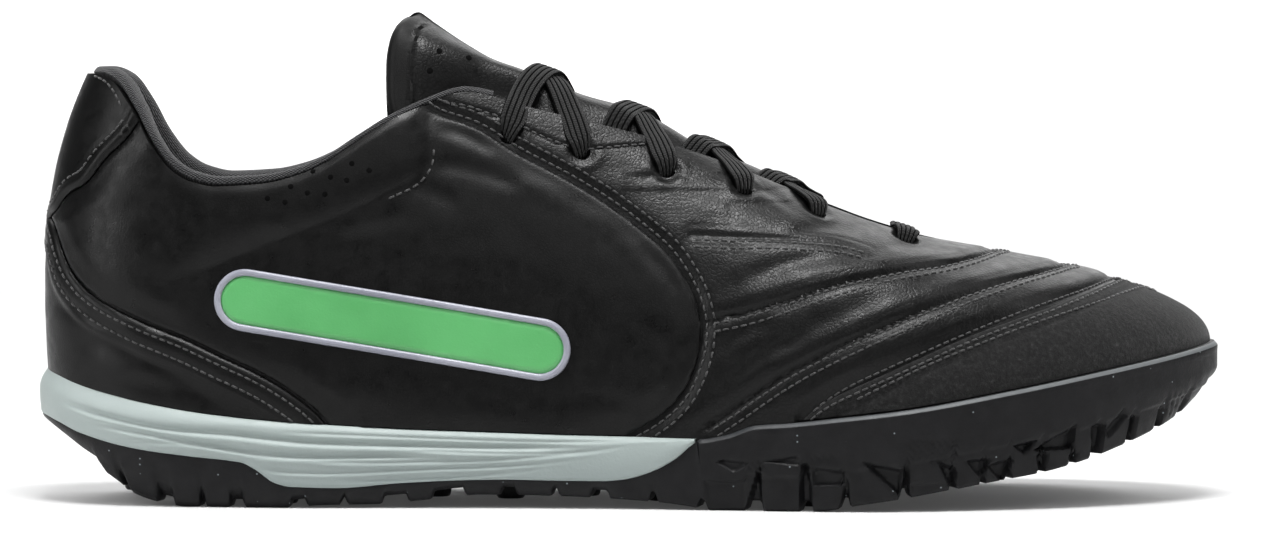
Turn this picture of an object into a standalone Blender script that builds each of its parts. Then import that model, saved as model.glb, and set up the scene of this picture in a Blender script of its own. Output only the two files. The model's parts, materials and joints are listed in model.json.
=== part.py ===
"""A laced turf shoe for the right foot: hollow upper with its overlays, tongue, collar padding, laces,
insole, midsole and studded rubber outsole, each its own object.

Metres, +Z up. The toe points to +X and the outer side of the foot faces -Y. The origin is on the floor,
under the middle of the sole's box. Every form is worked out from one last: an outline in plan, and wall
sections that stand on it and lean to a spine. A place on the last is given by side (-1 outer, 1 inner),
turn (0 at the back of the heel, 1 at the tip of the toe) and share (0 at the sole, 1 at the spine).
"""

import math
from collections import namedtuple

import bmesh
import bpy
import numpy as np

# Driving sizes
LENGTH = 0.292
HEEL_WIDTH = 0.070
WAIST_WIDTH = 0.066
BALL_WIDTH = 0.1005
INSTEP_HEIGHT = 0.1085
HEEL_TAB_HEIGHT = 0.108
COLLAR_DIP_HEIGHT = 0.081
COLLAR_FRONT_HEIGHT = 0.1055
HEEL_BITE_HEIGHT = 0.0325
WAIST_BITE_HEIGHT = 0.0175
TOE_BITE_HEIGHT = 0.0388
WALL = 0.0022
CLEARANCE = 0.0003
UPPER_INSET = 0.0027
QUARTER_THICK = 0.0009
COUNTER_THICK = 0.0013
TOE_CAP_THICK = 0.0010
HEEL_TAB_THICK = 0.0016
INLAY_THICK = 0.0008
INLAY_HALF = 0.0075
INLAY_FROM = (0.180, 0.465)
INLAY_TO = (0.425, 0.355)
SEAM = 0.0004
OVER_RIM = 0.0012

# Spine: where the wall sections lean to, measured from the back of the heel
SPINE_HEEL = 0.050
SPINE_TOE = 0.240

# Throat, eyelets and laces
THROAT_TOP_HALF = 0.0135
THROAT_BASE_HALF = 0.0085
THROAT_END = 0.2215
THROAT_END_RADIUS = 0.0085
EYELET_RADIUS = 0.0022
EYELET_FROM_EDGE = 0.0085
EYELETS_ALONG = (0.398, 0.459, 0.530, 0.595, 0.657, 0.731)
LACE_WIDTH = 0.0066
LACE_THICK = 0.0014
LACE_CROSS_LIFT = 0.0005
LACE_TUCK = 0.34
LACE_SAMPLES = 9

# Tongue
TONGUE_TOP = 0.0965
TONGUE_BASE = 0.2340
TONGUE_TOP_HALF = 0.031
TONGUE_BASE_HALF = 0.019
TONGUE_CORNER = 0.015
TONGUE_THICK = 0.0046
TONGUE_TOP_THICK = 0.0062
TONGUE_SINK = 0.0011

# Collar padding
COLLAR_ROLL = 0.0034
COLLAR_THICK = 0.0072
COLLAR_DEPTH = 0.024
COLLAR_END = 0.358
PAD_END = 0.22
PAD_GAP = 0.0005

# Sole
RIM_OUT = 0.0012
RIM_WALL = 0.0012
RIM_DEPTH = 0.0015
SHELF = 0.0030
MIDSOLE_FRONT = 0.1615
PARTING_CENTRE = 0.0078
BAND = 0.0065
LUG_WALL_INSET = 0.0026
LUG = 0.0042
LUG_EMBED = 0.0022
LUG_ACROSS = 0.0082
LUG_DEEP = 0.0085
LUG_PITCH = 0.0118
STUD_RADIUS = 0.0038
STUD_PITCH_X = 0.0185
STUD_PITCH_Y = 0.0170
LUG_TAPER = 0.86
INSOLE_THICK = 0.0042
INSOLE_REACH = 0.93

# Mesh fineness
STATIONS = 29
WALL_ROWS = 7
SECTION_SAMPLES = 161
TINY = 1e-4
MERGE = 2e-6

# Plan outline of the sole. along is a share of LENGTH; sway, the middle's shift to the inner side, is a
# share of half the ball width; half is half the width there.
Outline = namedtuple("Outline", "along sway half")
OUTLINE = [
    Outline(0.00, 0.000, 0.0),
    Outline(0.05, 0.000, 0.360 * HEEL_WIDTH),
    Outline(0.10, 0.000, 0.455 * HEEL_WIDTH),
    Outline(0.15, 0.000, 0.492 * HEEL_WIDTH),
    Outline(0.20, -0.015, 0.502 * HEEL_WIDTH),
    Outline(0.30, -0.045, 0.510 * WAIST_WIDTH),
    Outline(0.40, -0.080, 0.495 * WAIST_WIDTH),
    Outline(0.50, -0.085, 0.535 * WAIST_WIDTH),
    Outline(0.60, -0.055, 0.420 * BALL_WIDTH),
    Outline(0.65, -0.030, 0.460 * BALL_WIDTH),
    Outline(0.70, -0.005, 0.490 * BALL_WIDTH),
    Outline(0.75, 0.035, 0.500 * BALL_WIDTH),
    Outline(0.80, 0.075, 0.485 * BALL_WIDTH),
    Outline(0.85, 0.105, 0.450 * BALL_WIDTH),
    Outline(0.90, 0.125, 0.388 * BALL_WIDTH),
    Outline(0.95, 0.140, 0.283 * BALL_WIDTH),
    Outline(1.00, 0.150, 0.0),
]

# Height of the spine, which the wall sections reach; over the heel it is above the collar
Ridge = namedtuple("Ridge", "along height")
RIDGE = [
    Ridge(0.171, 1.382 * INSTEP_HEIGHT),
    Ridge(0.240, 1.290 * INSTEP_HEIGHT),
    Ridge(0.291, 1.190 * INSTEP_HEIGHT),
    Ridge(0.342, 1.088 * INSTEP_HEIGHT),
    Ridge(0.397, 1.000 * INSTEP_HEIGHT),
    Ridge(0.438, 0.956 * INSTEP_HEIGHT),
    Ridge(0.474, 0.918 * INSTEP_HEIGHT),
    Ridge(0.517, 0.869 * INSTEP_HEIGHT),
    Ridge(0.558, 0.816 * INSTEP_HEIGHT),
    Ridge(0.603, 0.756 * INSTEP_HEIGHT),
    Ridge(0.644, 0.702 * INSTEP_HEIGHT),
    Ridge(0.705, 0.634 * INSTEP_HEIGHT),
    Ridge(0.747, 0.597 * INSTEP_HEIGHT),
    Ridge(0.822, 0.550 * INSTEP_HEIGHT),
    Ridge(0.897, 0.508 * INSTEP_HEIGHT),
]

# Wall sections. Each is a curve with two handles: reach is the handle's distance from the spine as a
# share of the half width, rise its height as a share of the section's. lean tilts the top handle with
# the spine's slope.
Section = namedtuple("Section", "along low_reach low_rise top_reach top_rise lean")
SECTIONS = [
    Section(0.000, 1.062, 0.366, 0.979, 0.675, 0.0),
    Section(0.080, 1.075, 0.355, 0.960, 0.735, 0.0),
    Section(0.205, 1.095, 0.330, 0.815, 0.885, 0.0),
    Section(0.270, 1.090, 0.360, 0.720, 0.975, 0.2),
    Section(0.340, 1.080, 0.400, 0.660, 1.000, 0.6),
    Section(0.500, 1.050, 0.500, 0.520, 1.000, 1.0),
    Section(0.650, 1.040, 0.500, 0.500, 1.000, 1.0),
    Section(0.750, 1.030, 0.520, 0.520, 1.000, 1.0),
    Section(0.860, 1.020, 0.560, 0.560, 1.000, 1.0),
    Section(1.000, 1.020, 0.420, 0.650, 1.000, 1.0),
]

# Lines on the side of the shoe, as heights along it
Line = namedtuple("Line", "along height")
TOPLINE = [
    Line(0.000, HEEL_TAB_HEIGHT),
    Line(0.053, HEEL_TAB_HEIGHT),
    Line(0.066, 0.986 * HEEL_TAB_HEIGHT),
    Line(0.083, 0.928 * HEEL_TAB_HEIGHT),
    Line(0.100, 0.847 * HEEL_TAB_HEIGHT),
    Line(0.117, 1.053 * COLLAR_DIP_HEIGHT),
    Line(0.134, 1.016 * COLLAR_DIP_HEIGHT),
    Line(0.155, COLLAR_DIP_HEIGHT),
    Line(0.193, 1.007 * COLLAR_DIP_HEIGHT),
    Line(0.219, 1.028 * COLLAR_DIP_HEIGHT),
    Line(0.245, 0.820 * COLLAR_FRONT_HEIGHT),
    Line(0.270, 0.866 * COLLAR_FRONT_HEIGHT),
    Line(0.296, 0.912 * COLLAR_FRONT_HEIGHT),
    Line(0.338, 0.966 * COLLAR_FRONT_HEIGHT),
    Line(0.363, 0.990 * COLLAR_FRONT_HEIGHT),
    Line(0.397, COLLAR_FRONT_HEIGHT),
    Line(0.440, 1.300 * COLLAR_FRONT_HEIGHT),
    Line(1.000, 1.300 * COLLAR_FRONT_HEIGHT),
]
BITE = [
    Line(0.00, HEEL_BITE_HEIGHT),
    Line(0.05, 0.862 * HEEL_BITE_HEIGHT),
    Line(0.10, 0.763 * HEEL_BITE_HEIGHT),
    Line(0.15, 0.693 * HEEL_BITE_HEIGHT),
    Line(0.20, 0.649 * HEEL_BITE_HEIGHT),
    Line(0.30, 1.105 * WAIST_BITE_HEIGHT),
    Line(0.40, 1.045 * WAIST_BITE_HEIGHT),
    Line(0.50, WAIST_BITE_HEIGHT),
    Line(0.555, 0.990 * WAIST_BITE_HEIGHT),
    Line(0.580, 1.060 * WAIST_BITE_HEIGHT),
    Line(0.603, 1.190 * WAIST_BITE_HEIGHT),
    Line(0.630, 1.225 * WAIST_BITE_HEIGHT),
    Line(0.668, 0.585 * TOE_BITE_HEIGHT),
    Line(0.730, 0.640 * TOE_BITE_HEIGHT),
    Line(0.815, 0.748 * TOE_BITE_HEIGHT),
    Line(0.900, 0.865 * TOE_BITE_HEIGHT),
    Line(0.945, 0.925 * TOE_BITE_HEIGHT),
    Line(1.000, TOE_BITE_HEIGHT),
]
PARTING = [
    Line(0.000, 0.655 * HEEL_BITE_HEIGHT),
    Line(0.017, 0.625 * HEEL_BITE_HEIGHT),
    Line(0.050, 0.542 * HEEL_BITE_HEIGHT),
    Line(0.090, 0.449 * HEEL_BITE_HEIGHT),
    Line(0.135, 0.388 * HEEL_BITE_HEIGHT),
    Line(0.170, 0.351 * HEEL_BITE_HEIGHT),
    Line(0.185, 0.314 * HEEL_BITE_HEIGHT),
    Line(0.200, 0.230 * HEEL_BITE_HEIGHT),
    Line(0.214, 0.190 * HEEL_BITE_HEIGHT),
    Line(0.245, 0.185 * HEEL_BITE_HEIGHT),
    Line(0.305, 0.375 * WAIST_BITE_HEIGHT),
    Line(0.390, 0.430 * WAIST_BITE_HEIGHT),
    Line(0.470, 0.465 * WAIST_BITE_HEIGHT),
    Line(0.515, 0.520 * WAIST_BITE_HEIGHT),
    Line(0.540, 0.660 * WAIST_BITE_HEIGHT),
    Line(0.556, 0.815 * WAIST_BITE_HEIGHT),
    Line(1.000, 0.815 * WAIST_BITE_HEIGHT),
]
TREAD = [
    Line(0.000, 3.30 * LUG),
    Line(0.030, 2.38 * LUG),
    Line(0.060, 1.81 * LUG),
    Line(0.100, 1.24 * LUG),
    Line(0.140, LUG),
    Line(0.300, LUG),
    Line(0.360, 1.19 * LUG),
    Line(0.480, 1.19 * LUG),
    Line(0.550, LUG),
    Line(0.650, LUG),
    Line(0.700, 1.46 * LUG),
    Line(0.775, 2.31 * LUG),
    Line(0.840, 3.10 * LUG),
    Line(0.885, 3.81 * LUG),
    Line(0.930, 4.66 * LUG),
    Line(0.965, 5.48 * LUG),
    Line(1.000, 6.40 * LUG),
]
TREAD_INSET = [
    Line(0.00, 0.0085),
    Line(0.05, 0.0070),
    Line(0.10, 0.0050),
    Line(0.20, 0.0034),
    Line(0.90, 0.0034),
    Line(1.00, 0.0060),
]
FOOTBED = [
    Line(0.00, 0.540 * HEEL_BITE_HEIGHT),
    Line(0.20, 0.525 * HEEL_BITE_HEIGHT),
    Line(0.35, 0.460 * HEEL_BITE_HEIGHT),
    Line(0.50, 0.750 * WAIST_BITE_HEIGHT),
    Line(0.62, 0.620 * WAIST_BITE_HEIGHT),
    Line(0.72, 0.640 * WAIST_BITE_HEIGHT),
    Line(0.80, 0.370 * TOE_BITE_HEIGHT),
    Line(0.88, 0.500 * TOE_BITE_HEIGHT),
    Line(0.95, 0.650 * TOE_BITE_HEIGHT),
    Line(1.00, 0.760 * TOE_BITE_HEIGHT),
]

# Edges of the overlays as seen from the side: along is a share of LENGTH, up a share of INSTEP_HEIGHT
Edge = namedtuple("Edge", "along up")
VAMP_EDGE = [
    Edge(0.320, 0.925),
    Edge(0.355, 0.872),
    Edge(0.389, 0.815),
    Edge(0.440, 0.750),
    Edge(0.491, 0.672),
    Edge(0.525, 0.600),
    Edge(0.550, 0.508),
    Edge(0.561, 0.405),
    Edge(0.560, 0.330),
    Edge(0.549, 0.258),
    Edge(0.530, 0.200),
    Edge(0.500, 0.120),
]
TOE_CAP_EDGE = [
    Edge(0.630, 0.150),
    Edge(0.645, 0.212),
    Edge(0.685, 0.275),
    Edge(0.729, 0.333),
    Edge(0.780, 0.389),
    Edge(0.848, 0.443),
    Edge(0.897, 0.475),
    Edge(0.925, 0.500),
]
COUNTER_EDGE = [
    Edge(-0.02, 0.640),
    Edge(0.017, 0.600),
    Edge(0.049, 0.482),
    Edge(0.100, 0.412),
    Edge(0.160, 0.344),
    Edge(0.211, 0.273),
    Edge(0.245, 0.195),
    Edge(0.252, 0.130),
]
HEEL_TAB_EDGE = [
    Edge(-0.02, 0.640),
    Edge(0.008, 0.655),
    Edge(0.020, 0.682),
    Edge(0.037, 0.706),
    Edge(0.053, 0.730),
    Edge(0.068, 0.793),
    Edge(0.083, 0.855),
    Edge(0.096, 0.905),
]


def column(rows, name):
    return np.array([getattr(row, name) for row in rows], float)


def turn_of(along):
    """The outline's turn at a share of the length."""
    return np.arccos(np.clip(1 - 2 * np.asarray(along, float), -1, 1)) / math.pi


def along_of(turn):
    return (1 - np.cos(math.pi * np.asarray(turn, float))) / 2


def spline(xs, ys):
    """A natural cubic through the points, as a function of x that holds its end values."""
    count, step = len(xs), np.diff(xs)
    matrix, bend = np.eye(count), np.zeros(count)
    for i in range(1, count - 1):
        matrix[i, i - 1 : i + 2] = step[i - 1], 2 * (step[i - 1] + step[i]), step[i]
        bend[i] = 6 * ((ys[i + 1] - ys[i]) / step[i] - (ys[i] - ys[i - 1]) / step[i - 1])
    second = np.linalg.solve(matrix, bend)

    def at(x):
        x = np.clip(x, xs[0], xs[-1])
        i = np.clip(np.searchsorted(xs, x) - 1, 0, count - 2)
        left, right = x - xs[i], xs[i + 1] - x
        cubic = (second[i] * right**3 + second[i + 1] * left**3) / (6 * step[i])
        low = (ys[i] / step[i] - second[i] * step[i] / 6) * right
        high = (ys[i + 1] / step[i] - second[i + 1] * step[i] / 6) * left
        return cubic + low + high

    return at


def monotone(xs, ys):
    """A curve through the points that never swings past them, for lines with steps."""
    step = np.diff(xs)
    slope = np.diff(ys) / step
    same = slope[:-1] * slope[1:] > 0
    safe = np.where(same, slope[:-1] + slope[1:], 1)
    inner = np.where(same, 2 * slope[:-1] * slope[1:] / safe, 0)
    tangent = np.concatenate([[slope[0]], inner, [slope[-1]]])

    def at(x):
        x = np.clip(x, xs[0], xs[-1])
        i = np.clip(np.searchsorted(xs, x) - 1, 0, len(step) - 1)
        f = (x - xs[i]) / step[i]
        ends = ys[i] * (1 + 2 * f) * (1 - f) ** 2 + ys[i + 1] * f**2 * (3 - 2 * f)
        return ends + step[i] * (tangent[i] * f * (1 - f) ** 2 + tangent[i + 1] * f**2 * (f - 1))

    return at


sway_at = spline(column(OUTLINE, "along"), column(OUTLINE, "sway") * BALL_WIDTH / 2)
half_at = spline(turn_of(column(OUTLINE, "along")), column(OUTLINE, "half"))
ridge_at = spline(column(RIDGE, "along"), column(RIDGE, "height"))
section_at = {
    name: spline(turn_of(column(SECTIONS, "along")), column(SECTIONS, name))
    for name in Section._fields[1:]
}
topline_at, bite_at, parting_at, tread_at, tread_inset_at, footbed_at = (
    monotone(column(rows, "along"), column(rows, "height"))
    for rows in (TOPLINE, BITE, PARTING, TREAD, TREAD_INSET, FOOTBED)
)

outline_turns = np.linspace(0, 1, 721)
outer_reach = (half_at(outline_turns) - sway_at(along_of(outline_turns))).max()
inner_reach = (half_at(outline_turns) + sway_at(along_of(outline_turns))).max()
MIDDLE_Y = (inner_reach - outer_reach) / 2


def to_row(x, y, z):
    """Points in the part's frame, from distances ahead of the heel, to the inner side and up."""
    x, y, z = np.broadcast_arrays(x, y, z)
    return np.stack([x - LENGTH / 2, y - MIDDLE_Y, z], axis=-1).astype(float)


def plan(side, turn, grow=0.0):
    """x and y of the sole's outline, moved out by grow."""
    turn = np.asarray(turn, float)

    def edge(t):
        along = along_of(t)
        return LENGTH * along, sway_at(along) + side * half_at(t)

    x, y = edge(turn)
    x1, y1 = edge(np.clip(turn + TINY, 0, 1))
    x0, y0 = edge(np.clip(turn - TINY, 0, 1))
    dx, dy = x1 - x0, y1 - y0
    ends = (turn <= 0) | (turn >= 1)
    dx = np.where(ends, 0, dx)
    size = np.hypot(dx, dy)
    return x - side * dy / size * grow, y + side * dx / size * grow


def spine(turn):
    """x and y of the spine point that the section at turn leans to."""
    x = SPINE_HEEL + (SPINE_TOE - SPINE_HEEL) * along_of(turn)
    return x, sway_at(x / LENGTH)


def wall(side, turn, share):
    """Points of the upper's base surface: x, y and z before the move to the part's frame."""
    turn, share = np.asarray(turn, float), np.asarray(share, float)
    foot_x, foot_y = plan(side, turn, -UPPER_INSET)
    spine_x, spine_y = spine(turn)
    bottom = bite_at(along_of(turn)) - RIM_DEPTH + CLEARANCE
    top = ridge_at(spine_x / LENGTH)
    slope = (ridge_at(spine_x / LENGTH + TINY) - ridge_at(spine_x / LENGTH - TINY)) / (2 * TINY * LENGTH)
    shape = {name: section_at[name](turn) for name in section_at}
    lean = shape["lean"] * slope * shape["top_reach"] * (foot_x - spine_x)
    heights = (
        bottom,
        bottom + shape["low_rise"] * (top - bottom),
        bottom + shape["top_rise"] * (top - bottom) + lean,
        top,
    )
    reaches = (1, shape["low_reach"], shape["top_reach"], 0)
    weights = ((1 - share) ** 3, 3 * share * (1 - share) ** 2, 3 * share**2 * (1 - share), share**3)
    reach = sum(w * r for w, r in zip(weights, reaches))
    z = sum(w * h for w, h in zip(weights, heights))
    x = spine_x + (foot_x - spine_x) * reach
    y = spine_y + (foot_y - spine_y) * reach
    return np.stack(np.broadcast_arrays(x, y, z), axis=-1)


def outward(side, turn, share):
    """Unit normals of the base surface. At the spine's two ends the section next to it is used."""
    turn, share = np.broadcast_arrays(np.asarray(turn, float), np.asarray(share, float))
    turn = np.where(share > 0.98, np.clip(turn, 0.004, 0.996), turn)
    ahead = wall(side, np.clip(turn + TINY, 0, 1), share) - wall(side, np.clip(turn - TINY, 0, 1), share)
    up = wall(side, turn, np.clip(share + TINY, 0, 1)) - wall(side, turn, np.clip(share - TINY, 0, 1))
    normal = side * np.cross(up, ahead)
    return normal / np.linalg.norm(normal, axis=-1, keepdims=True)


def skin(side, turn, share, depth):
    """Points at a depth below the base surface, in the part's frame. Both sides meet on the centre plane."""
    turn, share = np.broadcast_arrays(np.asarray(turn, float), np.asarray(share, float))
    point, normal = wall(side, turn, share), outward(side, turn, share)
    shared = (turn <= 0) | (turn >= 1) | (share >= 1)
    if shared.any():
        both = normal + outward(-side, turn, share)
        both /= np.linalg.norm(both, axis=-1, keepdims=True)
        normal = np.where(shared[..., None], both, normal)
    moved = point - normal * np.asarray(depth, float)[..., None]
    return to_row(moved[..., 0], moved[..., 1], moved[..., 2])


def crossing(side, turn, distance):
    """The share at which distance(points) first stops being negative up each section, or 2."""
    turn = np.atleast_1d(np.asarray(turn, float))
    shares = np.linspace(0, 1, SECTION_SAMPLES)
    gap = distance(wall(side, turn[:, None], shares[None, :]))
    reached = gap >= 0
    first = np.maximum(reached.argmax(axis=1), 1)
    rows = np.arange(len(turn))
    before, after = gap[rows, first - 1], gap[rows, first]
    found = shares[first - 1] + (shares[1] - shares[0]) * np.clip(before / (before - after), 0, 1)
    return np.where(reached.any(axis=1), found, 2.0)


def throat_half(x):
    """Half the width of the throat at a distance ahead of the heel, and less than nothing beyond its ends."""
    start = column(TOPLINE, "along")[-3] * LENGTH
    down = np.clip((x - start) / (THROAT_END - start), 0, 1)
    straight = THROAT_TOP_HALF + (THROAT_BASE_HALF - THROAT_TOP_HALF) * down
    to_end = np.clip((THROAT_END - x) / THROAT_END_RADIUS, 0, 1)
    inside = (x < THROAT_END) & (x > 0.6 * start)
    return np.where(inside, straight * np.sqrt(1 - (1 - to_end) ** 2), -1.0)


def edge_share(side, turn):
    """The share at which the upper's wall ends: at the collar, at the throat or, ahead of it, at the spine."""
    leather = crossing(side, turn, lambda p: p[..., 2] - topline_at(p[..., 0] / LENGTH) + COLLAR_ROLL)
    throat = crossing(
        side, turn, lambda p: throat_half(p[..., 0]) - np.abs(p[..., 1] - sway_at(p[..., 0] / LENGTH))
    )
    rounding = 0.07
    near = np.clip(rounding - np.abs(leather - throat), 0, None) / rounding
    blend = np.minimum(leather, throat) - near**2 * rounding / 4
    return np.minimum(blend, 1.0)


def arc_share(side, turn, start, distance):
    """The share at a distance along each section from start, positive upwards."""
    shares = np.linspace(0, 1, SECTION_SAMPLES)
    found = []
    for t, begin, go in zip(*np.broadcast_arrays(turn, start, distance)):
        points = wall(side, np.full(SECTION_SAMPLES, t), shares)
        arc = np.concatenate([[0], np.cumsum(np.linalg.norm(np.diff(points, axis=0), axis=1))])
        found.append(np.interp(np.interp(begin, shares, arc) + go, arc, shares))
    return np.array(found)


def arc_length(side, turn, share):
    """The distance along each section from share to the spine."""
    shares = np.linspace(0, 1, SECTION_SAMPLES)
    found = []
    for t, begin in zip(*np.broadcast_arrays(turn, share)):
        points = wall(side, np.full(SECTION_SAMPLES, t), shares)
        arc = np.concatenate([[0], np.cumsum(np.linalg.norm(np.diff(points, axis=0), axis=1))])
        found.append(arc[-1] - np.interp(begin, shares, arc))
    return np.array(found)


def place_at(x, y):
    """The side, turn and share of the last's upper face over a spot in plan."""
    side = -1 if y < float(sway_at(x / LENGTH)) else 1
    low, high = 0.0, 1.0
    for _ in range(40):
        turn = (low + high) / 2
        (edge_x, edge_y), (spine_x, spine_y) = plan(side, turn, -UPPER_INSET), spine(turn)
        behind = side * ((edge_x - spine_x) * (y - spine_y) - (edge_y - spine_y) * (x - spine_x)) > 0
        low, high = (low, turn) if behind else (turn, high)
    reach = math.hypot(x - spine_x, y - spine_y) / math.hypot(edge_x - spine_x, edge_y - spine_y)
    shares = np.linspace(0, 1, SECTION_SAMPLES)
    points = wall(side, np.full(SECTION_SAMPLES, turn), shares)
    reaches = np.hypot(points[:, 0] - spine_x, points[:, 1] - spine_y)
    reaches /= math.hypot(edge_x - spine_x, edge_y - spine_y)
    top = int(reaches.argmax())
    return side, turn, float(np.interp(-reach, -reaches[top:], shares[top:]))


def stations(first=0.0, last=1.0, extra=()):
    """Turns from first to last, evenly spread, with extra distances ahead of the heel put in."""
    even = np.linspace(first, last, max(3, round(STATIONS * (last - first)) + 1))
    wanted = [t for t in turn_of(np.array(extra, float) / LENGTH) if first < t < last] if len(extra) else []
    kept = [t for t in even if all(abs(t - w) > 0.006 for w in wanted)]
    return np.array(sorted({first, last, *kept, *wanted}))


def with_more(turns, extra):
    """The turns with those at extra distances ahead of the heel, except where one is already near."""
    wanted = [t for t in turn_of(np.array(extra) / LENGTH) if np.abs(turns - t).min() > 0.004]
    return np.array(sorted([*turns, *wanted]))


# Colour, roughness and metallic value of each material
COLOURS = {
    "leather": (0.012, 0.012, 0.013, 1),
    "nubuck": (0.016, 0.016, 0.016, 1),
    "lining": (0.045, 0.048, 0.052, 1),
    "lace": (0.015, 0.015, 0.016, 1),
    "foam": (0.42, 0.48, 0.47, 1),
    "rubber": (0.010, 0.010, 0.011, 1),
    "insole": (0.03, 0.03, 0.032, 1),
    "inlay": (0.12, 0.52, 0.16, 1),
}
ROUGHNESS = {
    "leather": 0.38,
    "nubuck": 0.85,
    "lining": 0.9,
    "lace": 0.8,
    "foam": 0.55,
    "rubber": 0.5,
    "insole": 0.9,
    "inlay": 0.4,
}


def material(name):
    made = bpy.data.materials.get(name)
    if made:
        return made
    made = bpy.data.materials.new(name)
    made.use_nodes = True
    surface = made.node_tree.nodes["Principled BSDF"]
    surface.inputs["Base Color"].default_value = COLOURS[name]
    surface.inputs["Roughness"].default_value = ROUGHNESS[name]
    surface.inputs["Metallic"].default_value = 0.0
    return made


def split(face, points):
    """A face's triangles if it has four corners, cut along the shorter diagonal, so that surfaces that run
    side by side are cut alike."""
    if len(face) != 4:
        return [face]
    a, b, c, d = (np.asarray(points[i]) for i in face)
    if np.linalg.norm(a - c) <= np.linalg.norm(b - d):
        return [face[:3], [face[0], face[2], face[3]]]
    return [[face[0], face[1], face[3]], face[1:]]


def mesh_object(name, points, faces, finish=None):
    """A closed mesh from points and faces. Points that coincide become one."""
    mesh = bpy.data.meshes.new(name)
    built = bmesh.new()
    corners = [built.verts.new(p) for p in points]
    for face in [part for face in faces for part in split(face, points)]:
        distinct = list(dict.fromkeys(face))
        if len(distinct) > 2:
            built.faces.new([corners[i] for i in distinct])
    bmesh.ops.remove_doubles(built, verts=built.verts, dist=MERGE)
    bmesh.ops.dissolve_degenerate(built, edges=built.edges, dist=MERGE)
    bmesh.ops.recalc_face_normals(built, faces=built.faces)
    built.to_mesh(mesh)
    built.free()
    made = bpy.data.objects.new(name, mesh)
    bpy.context.scene.collection.objects.link(made)
    if finish:
        mesh.materials.append(material(finish))
        mesh.shade_smooth()
        mesh.set_sharp_from_angle(angle=math.radians(35))
    else:
        made.hide_render = True
        made.display_type = "WIRE"
    return made


def combine(target, tool, operation):
    """A Boolean with another object, which then only helps."""
    tool.hide_render = True
    tool.display_type = "WIRE"
    step = target.modifiers.new(f"{operation.lower()}_{tool.name}", "BOOLEAN")
    step.operation = operation
    step.object = tool


def shell(name, turns, shares, outer_depth, inner_depth, finish, open_top, over=(-1, 1)):
    """A solid between two depths of the last, over one side or both joined: shares(side) gives a row of
    shares for each turn, and open_top says at which turns the two sides don't meet at the spine."""
    grids = []
    for depth in (outer_depth, inner_depth):
        grids.append([skin(side, turns[:, None], shares(side), depth) for side in over])
    points = np.array(grids)
    layers, sides, count, rows = points.shape[:4]
    index = np.arange(layers * sides * count * rows).reshape(layers, sides, count, rows)
    faces = []
    for s in range(sides):
        out, within = index[0, s], index[1, s]
        for i in range(count - 1):
            for j in range(rows - 1):
                faces.append([out[i, j], out[i + 1, j], out[i + 1, j + 1], out[i, j + 1]])
                faces.append([within[i, j + 1], within[i + 1, j + 1], within[i + 1, j], within[i, j]])
            faces.append([out[i, 0], within[i, 0], within[i + 1, 0], out[i + 1, 0]])
            if open_top[i] or open_top[i + 1]:
                faces.append([out[i, -1], out[i + 1, -1], within[i + 1, -1], within[i, -1]])
        for i, closed in ((0, turns[0] <= 0), (count - 1, turns[-1] >= 1)):
            for j in range(rows - 1) if sides == 1 or not closed else ():
                faces.append([out[i, j], out[i, j + 1], within[i, j + 1], within[i, j]])
    return mesh_object(name, points.reshape(-1, 3), faces, finish)


def halves(name, turns, section, finish):
    """A solid from half sections that run from the spine below, out round the side and back to the spine
    above: section(side, turn) gives its points."""
    points = np.array([[section(side, t) for t in turns] for side in (-1, 1)])
    sides, count, rows = points.shape[:3]
    index = np.arange(sides * count * rows).reshape(sides, count, rows)
    faces = []
    for s in range(sides):
        for i in range(count - 1):
            for j in range(rows - 1):
                faces.append([index[s, i, j], index[s, i + 1, j], index[s, i + 1, j + 1], index[s, i, j + 1]])
    for i, needed in ((0, turns[0] > 0), (count - 1, turns[-1] < 1)):
        faces += [list(index[s, i]) for s in range(sides) if needed]
    return mesh_object(name, points.reshape(-1, 3), faces, finish)


def sweep(name, points, ups, width, thick, finish):
    """A flat strip of rectangular section along points, with its face to ups."""
    points, ups = np.array(points), np.array(ups)
    ahead = np.gradient(points, axis=0)
    ahead /= np.linalg.norm(ahead, axis=1, keepdims=True)
    across = np.cross(ups, ahead)
    across /= np.linalg.norm(across, axis=1, keepdims=True)
    up = np.cross(ahead, across)
    corners = ((1, 1), (-1, 1), (-1, -1), (1, -1))
    rings = [points + across * a * width / 2 + up * b * thick / 2 for a, b in corners]
    rings = np.stack(rings, axis=1)
    count = len(points)
    index = np.arange(count * 4).reshape(count, 4)
    faces = [list(index[0]), list(index[-1][::-1])]
    for i in range(count - 1):
        for j in range(4):
            k = (j + 1) % 4
            faces.append([index[i, j], index[i, k], index[i + 1, k], index[i + 1, j]])
    return mesh_object(name, rings.reshape(-1, 3), faces, finish)


def prism(name, outline):
    """A tool that runs across the shoe, with a side outline of (along, up) points."""
    flat = [(along * LENGTH - LENGTH / 2, up * INSTEP_HEIGHT) for along, up in outline]
    count = len(flat)
    points = [(x, y, z) for y in (-BALL_WIDTH, BALL_WIDTH) for x, z in flat]
    faces = [list(range(count)), list(range(2 * count - 1, count - 1, -1))]
    faces += [[i, (i + 1) % count, count + (i + 1) % count, count + i] for i in range(count)]
    return mesh_object(name, points, faces)


def smooth_edge(rows, between=2):
    """The edge's points with a few more between them, on a smooth curve."""
    steps = np.arange(len(rows), dtype=float)
    fine = np.linspace(0, len(rows) - 1, (len(rows) - 1) * between + 1)
    along, up = (spline(steps, column(rows, name))(fine) for name in Edge._fields)
    return list(zip(along, up))


# The upper, its overlays and what is cut through them

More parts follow.
